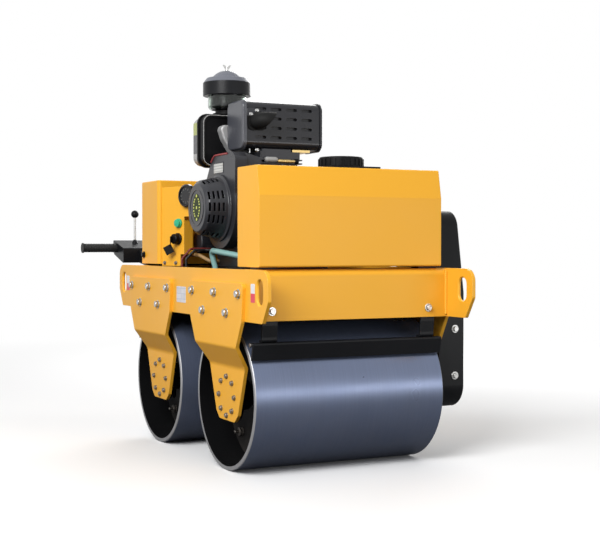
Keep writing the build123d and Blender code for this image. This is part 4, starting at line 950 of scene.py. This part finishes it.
# %% Bosses, lug and their bolts
boss_foot = corners("recoil_starter")[1][0] + 1
BOSS_TALL = 18
BOSS = [(0, 0), (10, 0), (8.5, 17), (7.5, BOSS_TALL), (0, BOSS_TALL)]
CUP_BOLTS = ((13, 834), (9, 687), (95, 834), (99, 687))
piece("cup_bosses", stamped(lathe(BOSS, 20), [((boss_foot, y, z), LEFT) for y, z in CUP_BOLTS]),
      "dark_enamel")
bolt_set("cup_bolts", [((boss_foot - BOSS_TALL, y, z), LEFT) for y, z in CUP_BOLTS], COVER_BOLT)
muffler_front = corners("muffler")[0][1]
LUG_T = 6.0
lug = slab(rounded_box(44, 26, 6), -0.2, LUG_T, 0.8)
piece("outlet_lug", oriented(lug, (-96, muffler_front, 1056), RIGHT, UP), "dark_enamel")
OUTLET_BOLTS = ((-86, muffler_front - LUG_T, 1062), (-106, muffler_front - LUG_T, 1050),
                (-83, -20, 940))
bolt_set("outlet_bolts", [(at, FORWARD) for at in OUTLET_BOLTS], OUTLET_BOLT)

# %% [markdown]
# ### Smaller fixings
#
# Two screws hold the switch panel to the frame, a plug closes each tank's side, each drum web
# carries a filler plug on a threaded stub, and a pin ends the scraper. Turned pieces like
# these are profiles of radius against height.

# %% Panel screws and tank plugs
PANEL_REAR = np.array([-279.0, 306.0, 0.0])
PANEL_TURN = radians(20.0)
PANEL_ALONG = np.array([sin(PANEL_TURN), -cos(PANEL_TURN), 0.0])
PANEL_OUT = np.array([-cos(PANEL_TURN), -sin(PANEL_TURN), 0.0])
SCREW_Z, SCREWS_ALONG = 586, (15, 71)


def on_panel(along, z, out=0.0):
    """Drawing point on the slanted switch panel's outer face, or a distance out from it."""
    return PANEL_REAR + PANEL_ALONG * along + np.array([0.0, 0.0, z]) + PANEL_OUT * out


bolt_set("panel_screws", [(on_panel(along, SCREW_Z), PANEL_OUT) for along in SCREWS_ALONG],
         PANEL_SCREW, dull_zinc)
PLUG = [(0, 0), (11, 0), (11, 3), (8, 3.5), (8, 9), (6.5, 10), (0, 10)]
PLUG_Z = 612
tank_low, tank_high = corners("water_tank")
plug_spots = [((corners("oil_tank")[0][0], 446, PLUG_Z), LEFT),
              ((tank_high[0], -420, PLUG_Z), RIGHT)]
piece("tank_plugs", stamped(lathe(PLUG, 24), plug_spots), "black_plastic")

# %% Web plugs and scraper pins
STUD = [(0, 0), (13, 0), (13, 3), (5, 3.5), (5, 16), (4, 17), (0, 17)]
WEB_X, NUT_T = 204.0, 8.0          # a web's outer face from the middle, a nut's thickness
PLUG_Y, PLUG_UP = 99.0, -122.0     # from the drum's axle
for end, axle in AXLES.items():
    y, z = axle + PLUG_Y, AXLE_Z + PLUG_UP
    nuts = stamped(bolt(*WEB_NUT), both_sides(WEB_X, y, z))
    studs = stamped(lathe(STUD, 16), both_sides(WEB_X + NUT_T, y, z))
    piece(end + "_web_plugs", joined(nuts, studs), "zinc_plate", dull_zinc, end + "_drum")

PIN = [(0, 0), (6, 0), (6, 5), (4.5, 6), (0, 6)]
PIN_IN, PIN_Z = 14, 370
pin_spots = []
for end in AXLES:
    low, high = corners(end + "_scraper")
    y = low[1] + PIN_IN if end == "front" else high[1] - PIN_IN
    pin_spots += [((low[0] + 1, y, PIN_Z), LEFT), ((high[0] - 1, y, PIN_Z), RIGHT)]
piece("scraper_pins", stamped(lathe(PIN, 16), pin_spots), "zinc_plate", dull_zinc)

# %% [markdown]
# ### Weld beads
#
# The cross beams are welded between the side plates. A hand-laid fillet weld is a row of
# overlapping drops; here a tube runs down the corner and its radius ripples along the way.
# Paint went over it, so it wears the same yellow.

# %% Weld beads
BEAD_R, DROP = 5.0, 6.0
BEAD_FROM, BEAD_TO = 6, 4          # how far its ends stay off the beam's lower and upper edge


def bead(start, stop):
    """Tube from start to stop whose radius at distance s is r (0.9 + 0.2 |sin(pi s / drop)|)."""
    start, stop = np.asarray(start, float), np.asarray(stop, float)
    length = np.linalg.norm(stop - start)
    share = np.linspace(0, 1, int(length / DROP * 5))
    ripple = 0.9 + 0.2 * np.abs(np.sin(pi * share * length / DROP))
    return swept(start + (stop - start) * share[:, None], BEAD_R, 10, ripple)


corner_x = abs(corners("side_plate_left")[1][0]) - 2
beads = [bead((side * corner_x, y, beam_low[2] + BEAD_FROM),
              (side * corner_x, y, beam_high[2] - BEAD_TO))
         for side in (-1, 1) for y in (beam_low[1] + 1, rear_high[1] - 1)]
piece("weld_beads", joined(*beads), "yellow_paint", smooth=60)

# %% [markdown]
# ### Hose clamps and grommet
#
# A worm-drive clamp bites the water hose at its tank and at its foot: a thin band round the
# hose and a little screw housing on top. Where the hose goes through the deck it wears a rubber
# grommet.

# %% Hose clamps and grommet
HOSE_R, HOSE_X = 9.0, -187.0
SCREW_OUT = HOSE_R + 3.5
SCREW = [(0, -8), (3, -8), (3.6, -7), (3.6, 7), (3, 8), (0, 8)]
hose_z = tank_low[2] + 15.0
foot_x, foot_y = HOSE_X + 15.0, 104.0
deck_top = corners("engine_deck")[1][2]
bands = stamped(lathe(collar(HOSE_R + 0.1, HOSE_R + 1.2, 9), 32),
                [((HOSE_X, tank_high[1] + 4, hose_z), REAR), ((foot_x, foot_y, deck_top + 7), UP)])
screws = stamped(lathe(SCREW, 12), [((HOSE_X, tank_high[1] + 8.5, hose_z + SCREW_OUT), RIGHT),
                                    ((foot_x - SCREW_OUT, foot_y, deck_top + 11.5), REAR)])
piece("hose_clamps", joined(bands, screws), "zinc_plate")
GROMMET = [(HOSE_R + 0.2, 0), (HOSE_R + 6, 0), (HOSE_R + 6.5, 2), (HOSE_R + 4, 4.5),
           (HOSE_R + 0.2, 5), (HOSE_R + 0.2, 0)]
piece("deck_grommet", stamped(lathe(GROMMET, 32), [((foot_x, foot_y, deck_top), UP)]),
      "grip_rubber")

# %% [markdown]
# ## Labels and badge
#
# Labels are thin film on paint. Each is a plate about half a millimetre thick with round
# corners, and its print is a pattern in the object's own space: pale blank cells on the data
# plate, a white field over a red one beside each lifting slot. Nothing is written on them.

# %% Label materials
def printed(name, pattern):
    """Glossy film whose colour is what a function draws in its tree; it wears a little."""
    material, tree, shader = finish(name, Specular_IOR_Level=0.4)
    drifted = use(tree, "tone_drift", Scale=30.0)
    colour_and_gloss(tree, shader, pattern(tree, drifted["Slow"]), drifted["Slow"], 0.35, 0.07)
    bumped(tree, shader, drifted["Fine"], 0.0001)
    return material


def two_fields(name, split_at, below, above):
    """Printed film with one colour below a height in metres and another above it."""
    def pattern(tree, slow):
        mask = ramp(tree, axis_value(tree, "Z"), split_at - 0.0002, split_at + 0.0002)
        grime = ramp(tree, slow, 0.55, 0.8, 0.0, 0.25)
        return tinted(tree, tinted(tree, below, above, mask), (0.45, 0.42, 0.36, 1), grime)
    return printed(name, pattern)


def blank_cells(name, paper, ink, cell_w, cell_h):
    """Printed data plate: a brick pattern of blank cells in the plane of Y and Z."""
    def pattern(tree, _):
        flat = node(tree, "CombineXYZ", X=axis_value(tree, "Y"), Y=axis_value(tree, "Z"))
        darker = tuple(0.86 * channel for channel in paper[:3]) + (1,)
        return node(tree, "TexBrick", offset=0.0, Scale=1.0, Mortar_Size=0.0012,
                    Brick_Width=cell_w, Row_Height=cell_h, Bias=0.1, Color1=paper, Color2=darker,
                    Mortar=ink, Vector=flat.outputs[0]).outputs["Color"]
    return printed(name, pattern)


FILM = 0.5


def left_label(name, centre, size, material, slot="cast_grey", radius=2.0, thick=FILM):
    """Rounded film on a face that looks left."""
    flat = slab(rounded_box(*size, radius), -0.1, thick, 0.15)
    piece(name, oriented(flat, centre, FORWARD, UP), slot, material)


print("label materials ready")

# %% Labels on the frame
RED, WHITE = (0.70, 0.045, 0.09, 1), (0.74, 0.74, 0.78, 1)
plate_out = corners("side_plate_left")[0][0]
data_print = blank_cells("data_plate_print", (0.70, 0.70, 0.74, 1), (0.48, 0.50, 0.58, 1),
                         0.027, 0.0165)
left_label("data_plate", (plate_out, 11, 492.5), (78, 49), data_print)
mark_print = two_fields("slot_mark_print", 0.513, RED, WHITE)
for end, y in (("front", -526), ("rear", 526)):
    left_label(end + "_slot_mark", (plate_out, y, 514), (26, 50), mark_print, radius=1.0)

# %% Labels on the engine
SHROUD_FACE = -178.0
HOLDER_T = 1.0
HOLDER_BLACK = (0.012, 0.013, 0.02, 1)
holder_print = two_fields("shroud_frame_print", 0.0, HOLDER_BLACK, HOLDER_BLACK)
tower_print = blank_cells("tower_label_print", (0.62, 0.62, 0.58, 1), (0.34, 0.34, 0.33, 1),
                          0.060, 0.0085)
left_label("tower_label_frame", (SHROUD_FACE, 63, 887), (82, 36), holder_print, "dark_enamel",
           3.0, HOLDER_T)
left_label("tower_label", (SHROUD_FACE - HOLDER_T, 61, 885.5), (74, 29), tower_print)
cover_low, cover_high = corners("air_cleaner_cover")
cover_print = two_fields("cover_label_print", 1.0, (0.10, 0.10, 0.11, 1), (0.42, 0.46, 0.16, 1))
left_label("cover_label", (cover_low[0], (cover_low[1] + cover_high[1]) / 2, 990), (34, 100),
           cover_print, radius=3.0)

# %% [markdown]
# ### Starter badge
#
# The starter's badge is an oval film inside the cup's raised ring: dark green, with a short row
# of plain yellow-green dashes down each side, a dot at the top and bottom and a small square in
# the middle. The dashes are small raised bars, each turned along the oval.

# %% Starter badge
CRANK_Y, CRANK_Z = 54.0, 760.0
CUP_FACE = SHROUD_FACE - 77.0
BADGE_T, MARK_T = 0.6, 0.4
DASHES, DASH_ARC = 7, 104      # dashes a side, and the arc in degrees that they cover
DASH_Y, DASH_Z, DOT_Z = 24.0, 32.5, 36.5
badge_green = enamel("badge_green", (0.020, 0.034, 0.008, 1), 0.5, edge=0.0003, dust=0.02,
                     Specular_IOR_Level=0.15)
badge_lime = enamel("badge_lime", (0.62, 0.66, 0.12, 1), 0.4, edge=0.0003, dust=0.02)


def on_cup(shape, y, z, out, turn=0.0):
    """Flat surface laid on the cup's face at an offset from the crankshaft, turned in the face."""
    return oriented(shape, (CUP_FACE - out, CRANK_Y - y, CRANK_Z + z),
                    (0, -cos(turn), sin(turn)), (0, sin(turn), cos(turn)))


oval = slab(circle(64) * (33.0, 43.0), -0.1, BADGE_T, 0.15)
piece("badge_film", on_cup(oval, 0, 0, 0.0), "green_plastic", badge_green)
dash = slab(rounded_box(7.4, 5.0, 1.2, 3), 0, MARK_T, 0.15)
dot = slab(circle(64)[::3] * (5.0, 4.6), 0, MARK_T, 0.15)
marks = []
for side in (-1, 1):
    for step in range(DASHES):
        angle = radians(DASH_ARC * step / (DASHES - 1) - DASH_ARC / 2)
        marks.append(on_cup(dash, side * DASH_Y * cos(angle), DASH_Z * sin(angle), BADGE_T,
                            -side * angle * 0.35))
marks += [on_cup(dot, 0, z, BADGE_T) for z in (-DOT_Z, DOT_Z)]
marks.append(on_cup(slab(rounded_box(9, 9, 1, 3), 0, 0.3, 0.1), 0, 0, BADGE_T))
piece("badge_marks", joined(*marks), "green_plastic", badge_lime)

# %% [markdown]
# ## Dial, grips and trim
#
# The hour meter gets a dark dial with twelve plain grey ticks behind its bezel. How far the
# bezel stands out from the panel is read from the node's own points.

# %% Hour meter dial
vertices = NODES["hour_meter"].data.vertices
meter_points = np.empty(len(vertices) * 3)
vertices.foreach_get("co", meter_points)
meter_top = ((drawn(meter_points.reshape(-1, 3)) - on_panel(0, 0)) @ PANEL_OUT).max()
METER_ALONG, METER_Z, DIAL_DEEP = 134.0, 802.0, 3.9
DIAL_R, TICK_R, TICKS = 28.0, 22.0, 12
DIAL_T = 0.6
PANEL_ACROSS = np.cross(UP, PANEL_OUT)
meter_at = on_panel(METER_ALONG, METER_Z, meter_top - DIAL_DEEP)
dial_black = enamel("dial_black", (0.006, 0.006, 0.007, 1), 0.25, edge=0.0003, dust=0.01)
dial_grey = enamel("dial_white", (0.16, 0.16, 0.15, 1), 0.4, edge=0.0003, dust=0.01)
dial = slab(circle(64) * DIAL_R, -0.1, DIAL_T, 0.2)
piece("meter_dial", oriented(dial, meter_at, PANEL_ACROSS, UP), "black_plastic",
      dial_black)
tick = slab(rounded_box(1.6, 6, 0.5, 3), 0, 0.3, 0.1)
ticks = []
for step in range(TICKS):
    angle = 2 * pi * step / TICKS
    outward = PANEL_ACROSS * sin(angle) + np.array(UP) * cos(angle)
    ticks.append(oriented(tick, meter_at + TICK_R * outward + PANEL_OUT * DIAL_T,
                          np.cross(outward, PANEL_OUT), outward))
piece("meter_ticks", joined(*ticks), "black_plastic", dial_grey)

# %% [markdown]
# ### Ribbed grips
#
# The grips get their moulded ribs: the sleeve's radius is a rounded wave along its length,
# radius = grip + rib * sqrt |sin(pi x / pitch)|.

# %% Ribbed grips
grip_low, grip_high = corners("handle_grips")
COLLAR, GRIP_R, RIB, RIB_PITCH = 14.0, 16.5, 1.6, 7.0
rib_from = corners("control_housing")[1][0] + COLLAR + 3
rib_x = np.arange(rib_from, grip_high[0] - 7, 0.7)
rib_r = GRIP_R - 0.2 + RIB * np.sqrt(np.abs(np.sin(pi * (rib_x - rib_from) / RIB_PITCH)))
inside = [(GRIP_R - 1, rib_x[0]), (GRIP_R - 1, rib_x[-1])]
sleeve = np.concatenate([inside[:1], np.stack([rib_r, rib_x], axis=-1), inside[1:], inside[:1]])
grip_mid = (grip_low + grip_high) / 2
piece("grip_ribs", stamped(lathe(sleeve, 32), both_sides(0.0, *grip_mid[1:])), "grip_rubber",
      body="handle")

# %% [markdown]
# ### Air intake
#
# Inside the clear bowl stands a vaned core that spins the air so that dust flies outwards, with
# a dark ring round it. A raised rim runs round the front of the filter's housing, as a tube
# along a rectangle with round corners; its pale grey is a painted highlight.

# %% Bowl core, ring and the filter's painted rim highlight
bowl_low, bowl_high = corners("pre_cleaner_bowl")
bowl_mid = (bowl_low + bowl_high) / 2
bowl_foot = (bowl_mid[0], bowl_mid[1], bowl_low[2])
bowl_tall = bowl_high[2] - bowl_low[2]
VANES = 12
core_angle = np.linspace(0, 2 * pi, VANES * 6, endpoint=False)
core_r = 30.5 + 2.0 * np.sign(np.sin(VANES * core_angle))
core = slab(circle(VANES * 6) * core_r[:, None], 0, bowl_tall, 0.3)
piece("bowl_core", stamped(core, [(bowl_foot, UP)]), "black_plastic")
piece("bowl_ring", stamped(lathe(collar(38.0, 51.0, bowl_tall), 48), [(bowl_foot, UP)]),
      "black_plastic")
cleaner_low, cleaner_high = corners("air_cleaner")
# The rim tube's pale grey is a painted highlight along the housing's rounded front edge.
HIGHLIGHT_IN, HIGHLIGHT_CORNER = 7.0, 26.0
highlight_size = cleaner_high - cleaner_low - 2 * HIGHLIGHT_IN
highlight_mid = (cleaner_low + cleaner_high) / 2
highlight_loop = rounded_box(highlight_size[0], highlight_size[2], HIGHLIGHT_CORNER, 10)
highlight_loop = np.concatenate([highlight_loop, highlight_loop[:2]])
highlight_path = np.stack([highlight_mid[0] + highlight_loop[:, 0], np.full(len(highlight_loop), cleaner_low[1] + 0.3),
                      highlight_mid[2] + highlight_loop[:, 1]], axis=-1)
piece("cleaner_rim_highlight", swept(highlight_path, 1.5, 8), "cast_grey", pale_grey_and_painted_highlight, smooth=60)

# %% [markdown]
# ### Fuel line and the tower's edge
#
# Under the muffler a pale fuel filter and a plated union lie along the engine's head. Along the
# top of the fan's tower runs a thin dull red trim.

# %% Fuel line and red edge
HEAD_FACE = -21.0
FILTER = [(0, 0), (6, 0), (6, 3), (8, 4), (8.5, 8), (8.5, 34), (8, 38), (6, 39), (6, 42), (0, 42)]
UNION = [(0, 0), (5, 0), (5, 3), (6.5, 3.5), (6.5, 20), (5.5, 20.5), (5.5, 24), (6.5, 24.5),
         (6.5, 44), (5, 45), (5, 60), (0, 60)]
END = [(0, 0), (8, 0), (8.5, 1), (8.5, 11), (7, 12), (0, 12)]
FUEL_LINE = (("fuel_filter", FILTER, (-55, HEAD_FACE, 912), "cast_grey", pale_grey_and_painted_highlight),
             ("fuel_union", UNION, (-12, HEAD_FACE, 908), "yellow_zinc", None),
             ("fuel_union_end", END, (48, HEAD_FACE, 908), "black_plastic", None))
for name, profile, at, slot, material in FUEL_LINE:
    piece(name, stamped(lathe(profile, 24), [(at, RIGHT)]), slot, material)
red_edge = enamel("red_edge", (0.30, 0.035, 0.04, 1), 0.45, edge=0.0004, dust=0.03)
EDGE_PATH = [(SHROUD_FACE - 0.5, y, z)
             for y, z in ((121, 908), (97, 925), (88, 927), (40, 927), (-10, 927))]
piece("tower_edge", swept(EDGE_PATH, 3.2, 10), "dark_enamel", red_edge, smooth=60)

# %% [markdown]
# ### Rod of the travel lever
#
# Between the lever's rubber boot and its ball shows a bright plated rod.

# %% Bright rod
lever_low, lever_high = corners("travel_lever")
lever_mid = (lever_low + lever_high) / 2
BOOT_H, BALL_D, ROD_R = 18.0, 32.0, 5.0
rod_foot = (lever_mid[0], lever_mid[1], lever_low[2] + BOOT_H)
rod_length = lever_high[2] - BALL_D + 2 - rod_foot[2]
ROD = [(0, 0), (ROD_R, 0), (ROD_R, rod_length), (0, rod_length)]
piece("lever_rod", stamped(lathe(ROD, 20), [(rod_foot, UP)]), "zinc_plate", body="handle")

# %% [markdown]
# ### Handle pin and the engine's right side
#
# The handle turns on a pin between two welded ears. A nut closes each end outside and a washer
# keeps the arm off the ear inside. The record's joint says where the pin lies. On the engine's
# right a turned cover with six bolts closes the end of the crankshaft.

# %% Handle pin
pivots = {joint["name"]: joint["pos_m"] for joint in frame["record"]["behaviour"]["joints"]}
pin = drawn(pivots["handle_fold"])
bracket_low, bracket_high = corners("handle_bracket")
EAR_FACE = bracket_high[0] - 6.0
bolt_set("pivot_nuts", both_sides(bracket_high[0], *pin[1:]), PIVOT_NUT)
washers = stamped(lathe(collar(12.2, 18, 2.5), 32), both_sides(EAR_FACE - 0.2, *pin[1:]))
piece("pivot_washers", washers, "zinc_plate")
ear_y = bracket_low[1] + 1
ear_beads = [bead((side * EAR_FACE, ear_y, bracket_low[2] + 4),
                  (side * EAR_FACE, ear_y, bracket_high[2] - 4)) for side in (-1, 1)]
piece("ear_welds", joined(*ear_beads), "black_paint", smooth=60)

# %% Crank cover
block_right = corners("engine_block")[1][0]
COVER = [(0, 0), (64, 0), (64, 6), (61, 9), (34, 10), (30, 15), (16, 15), (14, 18), (0, 18)]
COVER_BOLTS, COVER_BOLT_R = 6, 50
cover_turns = np.arange(COVER_BOLTS) * 2 * pi / COVER_BOLTS
piece("crank_cover", stamped(lathe(COVER, 64), [((block_right - 0.5, CRANK_Y, CRANK_Z), RIGHT)]),
      "dark_enamel")
bolt_set("cover_bolts", [((block_right + 9.0, CRANK_Y + COVER_BOLT_R * cos(turn),
                           CRANK_Z + COVER_BOLT_R * sin(turn)), RIGHT) for turn in cover_turns],
         COVER_BOLT)
